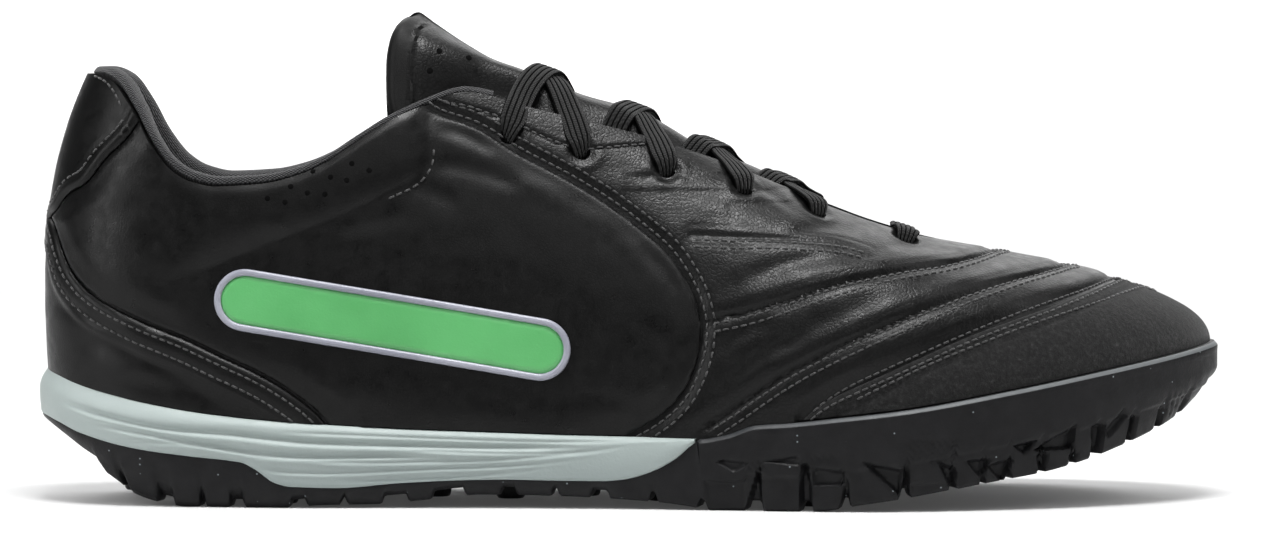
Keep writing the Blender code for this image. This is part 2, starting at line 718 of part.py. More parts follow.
collar_end_turn = float(turn_of(COLLAR_END))
shared_turns = stations(extra=(MIDSOLE_FRONT, 0.1694, 0.176, 0.184))
wall_turns = with_more(shared_turns, (THROAT_END - 0.009, THROAT_END - 0.004, THROAT_END, THROAT_END + 0.004))


def wall_rows(side, turns):
    """Shares from the sole to the wall's edge, the same for the wall and for what lies on it."""
    return edge_share(side, turns)[:, None] * np.linspace(0, 1, WALL_ROWS)


def open_at(turns):
    return edge_share(-1, turns) < 1


def overlay(name, outline, first, last, finish, thick, over=(-1, 1), under=0.0):
    """A layer laid on the upper or on what lies under it, between two larger forms of the last and cut to a
    side outline."""
    first, last = (float(turn_of(along)) for along in (first, last))
    before = max(np.searchsorted(wall_turns, first, "right") - 1, 0)
    turns = wall_turns[before : np.searchsorted(wall_turns, last, "left") + 1]
    inside = -under - CLEARANCE

    def rows(side):
        over_rim = crossing(side, turns, lambda p: p[..., 2] - bite_at(p[..., 0] / LENGTH) - OVER_RIM)
        return np.maximum(wall_rows(side, turns), over_rim[:, None])

    layer = shell(name, turns, rows, inside - thick, inside, finish, open_at(turns), over)
    combine(layer, prism(f"{name}_outline", outline), "INTERSECT")
    return layer


def pill(start, stop, half):
    """The outline of a bar with round ends, between two points on the side."""
    scale = np.array([LENGTH, INSTEP_HEIGHT])
    start, stop = (np.array(end) * scale for end in (start, stop))
    ahead = (stop - start) / np.linalg.norm(stop - start)
    across = np.array([-ahead[1], ahead[0]])
    points = []
    for centre, way in ((start, -1), (stop, 1)):
        for angle in np.linspace(-math.pi / 2, math.pi / 2, 7):
            spot = centre + way * half * (math.cos(angle) * ahead - math.sin(angle) * across)
            points.append(tuple(spot / scale))
    return points


def moved(edge, along=0.0, up=0.0):
    return [(a + along, u + up) for a, u in edge]


def make_upper():
    rows = {side: wall_rows(side, wall_turns) for side in (-1, 1)}
    upper = shell("upper", wall_turns, rows.get, 0.0, WALL, "leather", open_at(wall_turns))
    combine(upper, make_eyelet_punches(), "DIFFERENCE")
    return upper


def make_overlays():
    toe_top, vamp, counter, tab = map(smooth_edge, (TOE_CAP_EDGE, VAMP_EDGE, COUNTER_EDGE, HEEL_TAB_EDGE))
    low, high, seam = -0.1, 1.4, SEAM / LENGTH
    toe_cap = toe_top + [(1.05, toe_top[-1][1]), (1.05, low), (toe_top[0][0], low)]
    overlay("toe_cap", toe_cap, 0.58, 1.0, "nubuck", TOE_CAP_THICK)
    heel_tab = tab + [(tab[-1][0], high), (-0.05, high), (-0.05, tab[0][1])]
    overlay("heel_tab", heel_tab, 0.0, 0.17, "leather", HEEL_TAB_THICK)
    below_tab = [p for p in moved(tab, seam, -2 * seam) if p[0] < 0.017]
    counter_top = [p for p in counter if p[0] > 0.0165]
    heel_counter = below_tab + counter_top + [(counter_top[-1][0], low), (-0.05, low), (-0.05, below_tab[0][1])]
    overlay("counter", heel_counter, 0.0, 0.34, "leather", COUNTER_THICK)
    rear = [p for p in moved(tab, seam, -2 * seam) if p[0] >= 0.017]
    under = moved(counter_top, 1.5 * seam, 1.5 * seam)
    under += [(under[-1][0], low)]
    quarter = rear + [(rear[-1][0], high), (vamp[0][0], high)] + vamp + [(vamp[-1][0], low)] + under[::-1]
    for name, side in (("quarter_outer", -1), ("quarter_inner", 1)):
        overlay(name, quarter, 0.008, 0.62, "leather", QUARTER_THICK, over=(side,))
    inlay = pill(INLAY_FROM, INLAY_TO, INLAY_HALF)
    overlay("inlay_outer", inlay, 0.12, 0.48, "inlay", INLAY_THICK, over=(-1,), under=CLEARANCE + QUARTER_THICK)


def eyelet_place(side, along):
    """Turn and share of an eyelet at a share of the length, below the throat's edge."""
    turns = np.linspace(turn_of(along - 0.08), turn_of(along + 0.12), 41)
    edge = edge_share(side, turns)
    shares = arc_share(side, turns, edge, -EYELET_FROM_EDGE)
    x = wall(side, turns, shares)[:, 0]
    turn = np.interp(along * LENGTH, x, turns)
    return float(turn), float(np.interp(turn, turns, shares))


def make_eyelet_punches():
    """All the eyelet holes as one tool, a peg along the wall's normal at each place."""
    points, faces, sides = [], [], 8
    for side in (-1, 1):
        for along in EYELETS_ALONG:
            turn, share = eyelet_place(side, along)
            high, low = (skin(side, turn, share, depth).reshape(3) for depth in (-0.005, 0.006))
            axis = (high - low) / np.linalg.norm(high - low)
            across = np.cross(axis, (0, 0, 1))
            across /= np.linalg.norm(across)
            other = np.cross(axis, across)
            base = len(points)
            for end in (low, high):
                for k in range(sides):
                    angle = 2 * math.pi * (k + 0.37) / sides
                    points.append(end + EYELET_RADIUS * (math.cos(angle) * across + math.sin(angle) * other))
            faces.append([base + k for k in range(sides)])
            faces.append([base + sides + k for k in reversed(range(sides))])
            for k in range(sides):
                n = (k + 1) % sides
                faces.append([base + k, base + n, base + sides + n, base + sides + k])
    return mesh_object("eyelet_punches", points, faces)


# The tongue and the collar padding


def smooth_step(value, start, stop):
    share = np.clip((value - start) / (stop - start), 0, 1)
    return share * share * (3 - 2 * share)


def pad_depth(turn):
    """How deep the collar padding reaches. It thins towards its front ends, inside which the tongue lies."""
    thinned = 1 - (1 - PAD_END) * smooth_step(along_of(turn), 0.15, 0.29)
    return WALL + CLEARANCE + (COLLAR_THICK - WALL - CLEARANCE) * thinned


def make_tongue():
    top, base = turn_of((np.array([TONGUE_TOP, TONGUE_BASE]) - SPINE_HEEL) / (SPINE_TOE - SPINE_HEEL))
    turns = np.concatenate([[top, top + 0.006, top + 0.014], np.linspace(top + 0.03, base, 13)])
    spine_x = spine(turns)[0]
    down = (spine_x - TONGUE_TOP) / (TONGUE_BASE - TONGUE_TOP)
    rounding = np.clip(1 - (spine_x - TONGUE_TOP) / TONGUE_CORNER, 0, 1)
    half = TONGUE_TOP_HALF + (TONGUE_BASE_HALF - TONGUE_TOP_HALF) * down
    half = half - TONGUE_CORNER * (1 - np.sqrt(1 - rounding**2))
    in_collar = 1 - smooth_step(turns, collar_end_turn + 0.01, collar_end_turn + 0.05)
    flank = WALL + PAD_GAP + in_collar * (pad_depth(turns) * 1.2 - WALL)
    centre = flank + (TONGUE_SINK - flank) * (1 - smooth_step(spine_x, THROAT_END - 0.030, THROAT_END - 0.010))
    free = 1 - smooth_step(spine_x, TONGUE_TOP, TONGUE_TOP + 0.03)
    thick = TONGUE_THICK + (TONGUE_TOP_THICK - TONGUE_THICK) * free

    def rows(side):
        """Distances from the spine, depths and thicknesses, from the free edge to the spine."""
        wall_edge = arc_length(side, turns, edge_share(side, turns))
        inside = np.minimum(wall_edge - in_collar * COLLAR_ROLL - 0.0005, half - 0.003)
        inside = np.maximum(inside, 0.004)
        away = [half, half - 0.0018, (half + inside) / 2 - 0.0009, inside, 0.62 * inside, 0.30 * inside, 0 * half]
        sunk = [flank, flank, flank, flank]
        sunk += [centre + (flank - centre) * share for share in (0.30, 0.06, 0.0)]
        full = [0.45, 0.85, 1.0, 1.0, 1.0, 1.0, 1.0]
        return np.stack(away, axis=1), np.stack(sunk, axis=1), thick[:, None] * np.array(full)[None, :]

    def shares(side):
        away = rows(side)[0]
        found = [arc_share(side, turns, np.ones(len(turns)), -away[:, j]) for j in range(away.shape[1])]
        return np.stack(found, axis=1)

    _, outer, depth = rows(-1)
    return shell("tongue", turns, shares, outer, outer + depth, "leather", np.zeros(len(turns), bool))


# The padding's section: run is the distance up from the leather's edge, depth the distance in from the
# outer face of the wall
Pad = namedtuple("Pad", "run depth")
PAD_SECTION = [
    Pad(-COLLAR_DEPTH, WALL + PAD_GAP),
    Pad(-0.45 * COLLAR_DEPTH, WALL + PAD_GAP),
    Pad(0.0, WALL + PAD_GAP),
    Pad(0.15 * COLLAR_ROLL, 0.45 * WALL),
    Pad(0.50 * COLLAR_ROLL, 0.15 * WALL),
    Pad(0.85 * COLLAR_ROLL, 0.40 * WALL),
    Pad(COLLAR_ROLL, 0.45 * COLLAR_THICK),
    Pad(0.90 * COLLAR_ROLL, 0.75 * COLLAR_THICK),
    Pad(0.30 * COLLAR_ROLL, COLLAR_THICK),
    Pad(-0.35 * COLLAR_DEPTH, 1.15 * COLLAR_THICK),
    Pad(-0.80 * COLLAR_DEPTH, 0.80 * COLLAR_THICK),
    Pad(-COLLAR_DEPTH, WALL + PAD_GAP + 0.0012),
]


def make_collar():
    turns = np.array([t for t in wall_turns if t < collar_end_turn - 0.006] + [collar_end_turn])
    thinned = (pad_depth(turns) - WALL - CLEARANCE) / (COLLAR_THICK - WALL - CLEARANCE)
    rings = []
    for side in (-1, 1):
        edge = edge_share(side, turns)
        ring = []
        for pad in PAD_SECTION:
            share = arc_share(side, turns, edge, np.full(len(turns), pad.run))
            deep = max(pad.depth - WALL - PAD_GAP, 0)
            ring.append(skin(side, turns, share, pad.depth - deep + deep * thinned))
        rings.append(np.stack(ring, axis=1))
    loops = np.concatenate([rings[0][::-1], rings[1][1:]])
    count, corners = loops.shape[:2]
    index = np.arange(count * corners).reshape(count, corners)
    faces = [list(index[0]), list(index[-1][::-1])]
    for i in range(count - 1):
        for j in range(corners):
            k = (j + 1) % corners
            faces.append([index[i, j], index[i, k], index[i + 1, k], index[i + 1, j]])
    return mesh_object("collar", loops.reshape(-1, 3), faces, "lining")


# The laces: one bar at the toe end and five crossings, over the eyestays and the tongue


def lace_strip(name, start, stop, lift):
    """A strip that is straight in plan, from the place start over the throat to the place stop. A place is
    (side, turn, share)."""
    clear, ends = CLEARANCE + LACE_THICK / 2, [wall(*place) for place in (start, stop)]
    points, ups = [], []
    for way in np.linspace(0, 1, LACE_SAMPLES):
        x, y = (1 - way) * ends[0][:2] + way * ends[1][:2]
        place = place_at(x, y)
        raised = clear + lift * max(0.0, 1 - (2 * way - 1) ** 2 * 2.5)
        points.append(skin(*place, -raised).reshape(3))
        ups.append(skin(*place, -raised - 0.01).reshape(3) - points[-1])
    return sweep(name, points, ups, LACE_WIDTH, LACE_THICK, "lace" if lift == 0 else None)


def make_laces():
    """A bar between the last pair of eyelets and a crossing from each other pair to the pair above it. The
    uppermost crossing ends in its eyelets, the others under the opposite edge of the throat."""
    places = {side: [eyelet_place(side, along) for along in EYELETS_ALONG] for side in (-1, 1)}
    lace_strip("lace_bar", (-1, *places[-1][-1]), (1, *places[1][-1]), 0.0)
    for k in range(len(EYELETS_ALONG) - 2):
        strips = []
        for side, lift in ((-1, 0.0), (1, LACE_CROSS_LIFT)):
            turn, share = places[side][k + 1]
            far_turn, far_share = places[-side][k]
            if k > 0:
                far_turn += LACE_TUCK * (turn - far_turn)
                edge = float(edge_share(-side, far_turn)[0])
                far_share = edge + 0.35 * (1 - edge)
            name = f"lace_cross_{k + 1}" if lift == 0 else f"lace_cross_{k + 1}_over"
            strips.append(lace_strip(name, (side, turn, share), (-side, far_turn, far_share), lift))
        combine(strips[0], strips[1], "UNION")


# The sole

Ring = namedtuple("Ring", "reach rise")
BOWL = [Ring(1.0, 1.0), Ring(0.72, 0.30), Ring(0.0, 0.0)]
PARTED = [Ring(1.0, 1.0), Ring(0.72, 0.35), Ring(0.0, 0.0)]

PARTED_GROW = -0.0008

# The midsole's side, with its two long grooves: rise is a share of the height there
Side = namedtuple("Side", "grow rise")
MIDSOLE_SIDE = [
    Side(-0.0001, 0.10),
    Side(0.0000, 0.38),
    Side(-0.0009, 0.45),
    Side(0.0000, 0.52),
    Side(-0.0002, 0.68),
    Side(-0.0011, 0.74),
    Side(-0.0004, 0.80),
    Side(-RIM_OUT, 1.00),
]

front_turn = float(turn_of(MIDSOLE_FRONT / LENGTH))
gap_turn = float(turn_of((MIDSOLE_FRONT + CLEARANCE * 1.3) / LENGTH))
step_turn = float(turn_of((MIDSOLE_FRONT + 0.0012) / LENGTH))
sole_turns = with_more(shared_turns, (0.0497, 0.054, 0.0584, 0.0625, 0.150, 0.157))


def toward_spine(side, turn, grow, reach):
    edge_x, edge_y = plan(side, turn, grow)
    spine_x, spine_y = spine(turn)
    return spine_x + (edge_x - spine_x) * reach, spine_y + (edge_y - spine_y) * reach


def cupped(side, turn, grow, rings, edge_height, centre_height, lift=0.0):
    """Points of a surface that dips from edge_height at the outline to centre_height(x) at the spine."""
    made = []
    for ring in rings:
        x, y = toward_spine(side, turn, grow, ring.reach)
        middle = centre_height(x)
        made.append(to_row(x, y, middle + (edge_height - middle) * ring.rise + lift))
    return made


def ridge_point(side, turn, grow, height):
    x, y = plan(side, turn, grow)
    return to_row(x, y, height)


def rim_points(side, turn, bite):
    """The rim that holds the foot of the upper, and the shelf that it stands on."""
    inside = -RIM_OUT - RIM_WALL
    return [
        ridge_point(side, turn, -RIM_OUT, bite),
        ridge_point(side, turn, inside, bite),
        ridge_point(side, turn, inside, bite - RIM_DEPTH),
    ]


def shelf_grow():
    return -RIM_OUT - RIM_WALL - SHELF


def footbed(x):
    return footbed_at(x / LENGTH)


def parting_height(turn):
    """Height of the line between midsole and outsole, never so high that the midsole thins to nothing."""
    along = along_of(turn)
    return min(float(parting_at(along)), float(bite_at(along)) - RIM_DEPTH - 0.0012)


def parting_centre(x):
    return PARTING_CENTRE + 0 * x


def tread(x):
    return tread_at(x / LENGTH)


def tread_points(side, turn):
    inset = float(tread_inset_at(along_of(turn)))
    made = []
    for reach in (0.0, 1.0):
        x, y = toward_spine(side, turn, -inset, reach)
        made.append(to_row(x, y, tread(x)))
    return made


def midsole_section(side, turn):
    bite, part = float(bite_at(along_of(turn))), parting_height(turn)
    points = cupped(side, turn, PARTED_GROW, PARTED[::-1], part, parting_centre, CLEARANCE)
    part += CLEARANCE
    for row in MIDSOLE_SIDE[:-1]:
        points.append(ridge_point(side, turn, row.grow, part + row.rise * (bite - part)))
    points += rim_points(side, turn, bite)
    return points + cupped(side, turn, shelf_grow(), BOWL, bite - RIM_DEPTH, footbed)


def outsole_section(side, turn):
    """Under the midsole the outsole ends at the parting line. Ahead of it, it is the whole sole."""
    bite = float(bite_at(along_of(turn)))
    points = tread_points(side, turn)
    low = points[-1][2]
    if turn < step_turn:
        part = parting_height(turn)
        height = part - low
        inset = float(tread_inset_at(along_of(turn)))
        points += [
            ridge_point(side, turn, -0.60 * inset, low + 0.15 * height),
            ridge_point(side, turn, -0.25 * inset, low + 0.42 * height),
            ridge_point(side, turn, -0.0004, low + 0.72 * height),
            ridge_point(side, turn, -0.0001, part - 0.10 * height),
        ]
        points += [ridge_point(side, turn, PARTED_GROW, part)] * 3
        return points + cupped(side, turn, PARTED_GROW, PARTED, part, parting_centre)
    band = bite - BAND
    points += [
        ridge_point(side, turn, -LUG_WALL_INSET, low + 0.25 * (band - low)),
        ridge_point(side, turn, -LUG_WALL_INSET, band - 0.0006),
        ridge_point(side, turn, 0.0, band + 0.0004),
        ridge_point(side, turn, 0.0, bite - 0.0022),
    ]
    points += rim_points(side, turn, bite)
    return points + cupped(side, turn, shelf_grow(), BOWL, bite - RIM_DEPTH, footbed)


def make_midsole():
    turns = np.array([t for t in sole_turns if t < front_turn - 0.002] + [front_turn])
    return halves("midsole", turns, midsole_section, "foam")


def lug_blocks():
    """Places of the lugs round the edge: (side, turn) at an even pitch along the outline."""
    fine = np.linspace(turn_of(0.030), 1.0, 1500)
    places = []
    for side in (-1, 1):
        x, y = plan(side, fine, -LUG_DEEP / 2)
        arc = np.concatenate([[0], np.cumsum(np.hypot(np.diff(x), np.diff(y)))])
        count = int((arc[-1] - LUG_PITCH / 2) / LUG_PITCH)
        first = arc[-1] - LUG_PITCH / 2 - (count - 1) * LUG_PITCH
        for k in range(count):
            places.append((side, float(np.interp(first + k * LUG_PITCH, arc, fine))))
    return places


def block(points, faces, centre, ahead, across, sizes, heights, corners):
    """Adds a tapered prism with corners corners, whose foot is smaller than its top."""
    base = len(points)
    for z, scale in ((heights[0], LUG_TAPER), (heights[1], 1.0)):
        for a, b in corners:
            xy = centre + ahead * a * sizes[0] / 2 * scale + across * b * sizes[1] / 2 * scale
            points.append((*xy, z))
    count = len(corners)
    faces.append([base + k for k in range(count)])
    faces.append([base + count + k for k in reversed(range(count))])
    for k in range(count):
        n = (k + 1) % count
        faces.append([base + k, base + n, base + count + n, base + count + k])


def make_lugs():
    """All the lugs as one tool: bevelled blocks round the edge and six-sided studs inside them."""
    points, faces = [], []
    square = [(1, 1), (-1, 1), (-1, -1), (1, -1)]
    for side, turn in lug_blocks():
        inset = float(tread_inset_at(along_of(turn)))
        ahead_of_step = turn > turn_of(0.60)
        outer = 0.0007 if ahead_of_step else max(inset - 0.0012, 0.0010)
        x, y = plan(side, turn, -outer - LUG_DEEP / 2)
        edge_x, edge_y = plan(side, turn, 0.0)
        across = np.array([edge_x - x, edge_y - y]).astype(float)
        across /= np.linalg.norm(across)
        ahead = np.array([across[1], -across[0]])
        low = float(tread(x)) - LUG
        top = float(tread(x)) + LUG_EMBED
        if ahead_of_step:
            top = float(bite_at(along_of(turn))) - BAND + LUG_EMBED
        centre = np.array([x - LENGTH / 2, y - MIDDLE_Y]).astype(float)
        block(points, faces, centre, ahead, across, (LUG_ACROSS, LUG_DEEP), (low, top), square)
    hexagon = [(math.cos(math.pi * k / 3), math.sin(math.pi * k / 3)) for k in range(6)]
    inside = LUG_DEEP + STUD_RADIUS + 0.0045
    for row in range(int(LENGTH / STUD_PITCH_X)):
        x = 0.024 + row * STUD_PITCH_X
        shift = 0.5 * (row % 2)
        for place in range(-4, 5):
            offset = (place + shift) * STUD_PITCH_Y
            y = float(sway_at(x / LENGTH)) + offset
            turn = float(turn_of(x / LENGTH))
            if x > LENGTH - inside or abs(offset) > float(half_at(turn)) - inside:
                continue
            centre = np.array([x - LENGTH / 2, y - MIDDLE_Y])
            heights = (float(tread(x)) - LUG, float(tread(x)) + LUG_EMBED)
            sizes = (2 * STUD_RADIUS, 2 * STUD_RADIUS)
            block(points, faces, centre, np.array([1.0, 0]), np.array([0, 1.0]), sizes, heights, hexagon)
    return mesh_object("lugs", points, faces)


def make_outsole():
    rear = [t for t in sole_turns if t < front_turn - 0.002] + [front_turn, gap_turn]
    fore = [step_turn] + [t for t in sole_turns if t > step_turn + 0.003]
    outsole = halves("outsole", np.array(rear + fore), outsole_section, "rubber")
    combine(outsole, make_lugs(), "UNION")
    return outsole


def make_insole():
    rings = [Ring(0.0, 0.0), Ring(0.72, 0.30), Ring(INSOLE_REACH, 0.825)]

    def section(side, turn):
        bite = float(bite_at(along_of(turn))) - RIM_DEPTH
        below = cupped(side, turn, shelf_grow(), rings, bite, footbed, CLEARANCE)
        above = [point + np.array([0, 0, INSOLE_THICK]) for point in below[::-1]]
        return below + above

    return halves("insole", sole_turns, section, "insole")


def main():
    for old in list(bpy.data.objects):
        bpy.data.objects.remove(old)
    make_upper()
    make_overlays()
    make_tongue()
    make_collar()
    make_laces()
    make_midsole()
    make_outsole()
    make_insole()


main()
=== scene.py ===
"""Looks of the turf shoe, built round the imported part. Every piece is laid on the same last as the CAD.

Metres, +Z up, toe to +X. A side is -1 for the outer one, at -Y, and 1 for the inner one. A place on the last
is a side, a turn, from 0 at the heel to 1 at the toe, and a share, from 0 at the sole to 1 at the spine.
Tables of places seen from the outer side are in millimetres: distance ahead of the heel's back, and height.
"""

import json
import math

import bmesh
import bpy
import numpy as np
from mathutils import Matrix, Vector, kdtree
from mathutils.bvhtree import BVHTree

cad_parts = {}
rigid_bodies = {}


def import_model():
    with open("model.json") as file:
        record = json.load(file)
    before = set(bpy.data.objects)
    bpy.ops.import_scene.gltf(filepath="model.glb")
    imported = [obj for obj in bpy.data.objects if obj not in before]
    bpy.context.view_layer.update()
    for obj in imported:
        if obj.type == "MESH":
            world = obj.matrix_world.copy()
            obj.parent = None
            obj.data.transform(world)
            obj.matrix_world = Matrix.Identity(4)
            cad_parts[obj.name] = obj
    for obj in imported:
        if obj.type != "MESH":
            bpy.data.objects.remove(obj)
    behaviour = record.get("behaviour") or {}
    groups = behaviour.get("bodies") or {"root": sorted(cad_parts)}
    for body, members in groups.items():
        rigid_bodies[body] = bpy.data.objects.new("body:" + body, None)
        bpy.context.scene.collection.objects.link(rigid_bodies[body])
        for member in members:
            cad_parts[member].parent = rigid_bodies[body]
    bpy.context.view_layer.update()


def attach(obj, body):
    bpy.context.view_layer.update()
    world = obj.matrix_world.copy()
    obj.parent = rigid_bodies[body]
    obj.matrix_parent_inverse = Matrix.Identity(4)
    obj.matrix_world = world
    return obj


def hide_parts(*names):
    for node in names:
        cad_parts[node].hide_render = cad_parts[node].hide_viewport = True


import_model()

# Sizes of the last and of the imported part
LENGTH = 0.292
HEEL_WIDTH = 0.070
WAIST_WIDTH = 0.066
BALL_WIDTH = 0.1005
INSTEP_HEIGHT = 0.1085
HEEL_TAB_HEIGHT = 0.108
COLLAR_DIP_HEIGHT = 0.081
COLLAR_FRONT_HEIGHT = 0.1055
HEEL_BITE_HEIGHT = 0.0325
WAIST_BITE_HEIGHT = 0.0175
TOE_BITE_HEIGHT = 0.0388
SPINE_HEEL, SPINE_TOE = 0.050, 0.240
WALL = 0.0022
CLEARANCE = 0.0003
UPPER_INSET = 0.0027
INLAY_HALF = 0.0075

THROAT_TOP_HALF, THROAT_BASE_HALF = 0.0135, 0.0085
THROAT_END = 0.2215
THROAT_END_RADIUS = 0.0085
THROAT_ROUNDING = 0.07
EYELET_RADIUS = 0.0022
EYELET_FROM_EDGE = 0.0085
EYELETS_ALONG = (0.398, 0.459, 0.530, 0.595, 0.657, 0.731)
LACE_WIDTH, LACE_THICK = 0.0066, 0.0014
LACE_TUCK = 0.34

TONGUE_TOP, TONGUE_BASE = 0.0965, 0.2340
TONGUE_TOP_HALF, TONGUE_BASE_HALF = 0.031, 0.019
TONGUE_THICK, TONGUE_TOP_THICK = 0.0046, 0.0062
TONGUE_SINK = 0.0011
COLLAR_ROLL = 0.0034
COLLAR_THICK = 0.0072
COLLAR_DEPTH = 0.024
COLLAR_END = 0.358
PAD_END = 0.22
PAD_GAP = 0.0005

RIM_OUT, RIM_WALL, RIM_DEPTH = 0.0012, 0.0012, 0.0015
RIM_INSIDE = -RIM_OUT - RIM_WALL
SHELF = 0.0030
MIDSOLE_FRONT = 0.1615
PARTING_CENTRE = 0.0078
LUG = 0.0042
LUG_DEEP = 0.0085
STUD_RADIUS = 0.0038
STUD_PITCH_X, STUD_PITCH_Y = 0.0185, 0.0170
INSOLE_THICK = 0.0042
INSOLE_REACH = 0.93

# Mesh fineness
FINE = 0.00095
COARSE = 0.004
SECTION_SAMPLES = 161
TINY = 1e-4

SIDES = (-1, 1)
MM = 1000.0


def scaled(*groups):
    """Rows of a table, from groups of rows whose last value is a share of the group's size."""
    return np.array([(*row[:-1], row[-1] * size) for size, *rows in groups for row in rows], float)


# Plan outline of the sole: share of the length, shift to the inner side in half ball widths, half width
OUTLINE = scaled(
    (HEEL_WIDTH, (0.00, 0.000, 0), (0.05, 0.000, 0.360), (0.10, 0.000, 0.455), (0.15, 0.000, 0.492),
     (0.20, -0.015, 0.502)),
    (WAIST_WIDTH, (0.30, -0.045, 0.510), (0.40, -0.080, 0.495), (0.50, -0.085, 0.535)),
    (BALL_WIDTH, (0.60, -0.055, 0.420), (0.65, -0.030, 0.460), (0.70, -0.005, 0.490), (0.75, 0.035, 0.500),
     (0.80, 0.075, 0.485), (0.85, 0.105, 0.450), (0.90, 0.125, 0.388), (0.95, 0.140, 0.283), (1.00, 0.150, 0)),
)
# Wall sections by share of the length. Each is a curve with two handles: reach is the handle's distance from
# the spine in half widths, rise its height as a share of the section's, lean the top handle's tilt.
SECTION_NAMES = ("low_reach", "low_rise", "top_reach", "top_rise", "lean")
SECTIONS = np.array([
    (0.000, 1.062, 0.366, 0.979, 0.675, 0.0), (0.080, 1.075, 0.355, 0.960, 0.735, 0.0),
    (0.205, 1.095, 0.330, 0.815, 0.885, 0.0), (0.270, 1.090, 0.360, 0.720, 0.975, 0.2),
    (0.340, 1.080, 0.400, 0.660, 1.000, 0.6), (0.500, 1.050, 0.500, 0.520, 1.000, 1.0),
    (0.650, 1.040, 0.500, 0.500, 1.000, 1.0), (0.750, 1.030, 0.520, 0.520, 1.000, 1.0),
    (0.860, 1.020, 0.560, 0.560, 1.000, 1.0), (1.000, 1.020, 0.420, 0.650, 1.000, 1.0),
])
# Heights by share of the length: the spine, the upper's top line, the sole's upper edge, the tread, the footbed
RIDGE = scaled(
    (INSTEP_HEIGHT, (0.171, 1.382), (0.240, 1.290), (0.291, 1.190), (0.342, 1.088), (0.397, 1.000),
     (0.438, 0.956), (0.474, 0.918), (0.517, 0.869), (0.558, 0.816), (0.603, 0.756), (0.644, 0.702),
     (0.705, 0.634), (0.747, 0.597), (0.822, 0.550), (0.897, 0.508)),
)
TOPLINE = scaled(
    (HEEL_TAB_HEIGHT, (0.000, 1), (0.053, 1), (0.066, 0.986), (0.083, 0.928), (0.100, 0.847)),
    (COLLAR_DIP_HEIGHT, (0.117, 1.053), (0.134, 1.016), (0.155, 1), (0.193, 1.007), (0.219, 1.028)),
    (COLLAR_FRONT_HEIGHT, (0.245, 0.820), (0.270, 0.866), (0.296, 0.912), (0.338, 0.966), (0.363, 0.990),
     (0.397, 1), (0.440, 1.300), (1.000, 1.300)),
)
BITE = scaled(
    (HEEL_BITE_HEIGHT, (0.00, 1), (0.05, 0.862), (0.10, 0.763), (0.15, 0.693), (0.20, 0.649)),
    (WAIST_BITE_HEIGHT, (0.30, 1.105), (0.40, 1.045), (0.50, 1), (0.555, 0.990), (0.580, 1.060),
     (0.603, 1.190), (0.630, 1.225)),
    (TOE_BITE_HEIGHT, (0.668, 0.585), (0.730, 0.640), (0.815, 0.748), (0.900, 0.865), (0.945, 0.925), (1, 1)),
)
TREAD = scaled(
    (LUG, (0.000, 3.30), (0.030, 2.38), (0.060, 1.81), (0.100, 1.24), (0.140, 1), (0.300, 1), (0.360, 1.19),
     (0.480, 1.19), (0.550, 1), (0.650, 1), (0.700, 1.46), (0.775, 2.31), (0.840, 3.10), (0.885, 3.81),
     (0.930, 4.66), (0.965, 5.48), (1.000, 6.40)),
)
FOOTBED = scaled(
    (HEEL_BITE_HEIGHT, (0.00, 0.540), (0.20, 0.525), (0.35, 0.460)),
    (WAIST_BITE_HEIGHT, (0.50, 0.750), (0.62, 0.620), (0.72, 0.640)),
    (TOE_BITE_HEIGHT, (0.80, 0.370), (0.88, 0.500), (0.95, 0.650), (1.00, 0.760)),
)


def turn_of(along):
    """The outline's turn at a share of the length."""
    return np.arccos(np.clip(1 - 2 * np.asarray(along, float), -1, 1)) / math.pi


def along_of(turn):
    return (1 - np.cos(math.pi * np.asarray(turn, float))) / 2


def spline(xs, ys):
    """A natural cubic through the points, as a function of x that holds its end values."""
    count, step = len(xs), np.diff(xs)
    matrix, bend = np.eye(count), np.zeros(count)
    for i in range(1, count - 1):
        matrix[i, i - 1 : i + 2] = step[i - 1], 2 * (step[i - 1] + step[i]), step[i]
        bend[i] = 6 * ((ys[i + 1] - ys[i]) / step[i] - (ys[i] - ys[i - 1]) / step[i - 1])
    second = np.linalg.solve(matrix, bend)

    def at(x):
        x = np.clip(x, xs[0], xs[-1])
        i = np.clip(np.searchsorted(xs, x) - 1, 0, count - 2)
        left, right = x - xs[i], xs[i + 1] - x
        cubic = (second[i] * right**3 + second[i + 1] * left**3) / (6 * step[i])
        low = (ys[i] / step[i] - second[i] * step[i] / 6) * right
        high = (ys[i + 1] / step[i] - second[i + 1] * step[i] / 6) * left
        return cubic + low + high

    return at


def monotone(xs, ys):
    """A curve through the points that never swings past them, for lines with steps."""
    step = np.diff(xs)
    slope = np.diff(ys) / step
    same = slope[:-1] * slope[1:] > 0
    safe = np.where(same, slope[:-1] + slope[1:], 1)
    inner = np.where(same, 2 * slope[:-1] * slope[1:] / safe, 0)
    tangent = np.concatenate([[slope[0]], inner, [slope[-1]]])

    def at(x):
        x = np.clip(x, xs[0], xs[-1])
        i = np.clip(np.searchsorted(xs, x) - 1, 0, len(step) - 1)
        f = (x - xs[i]) / step[i]
        ends = ys[i] * (1 + 2 * f) * (1 - f) ** 2 + ys[i + 1] * f**2 * (3 - 2 * f)
        return ends + step[i] * (tangent[i] * f * (1 - f) ** 2 + tangent[i + 1] * f**2 * (f - 1))

    return at


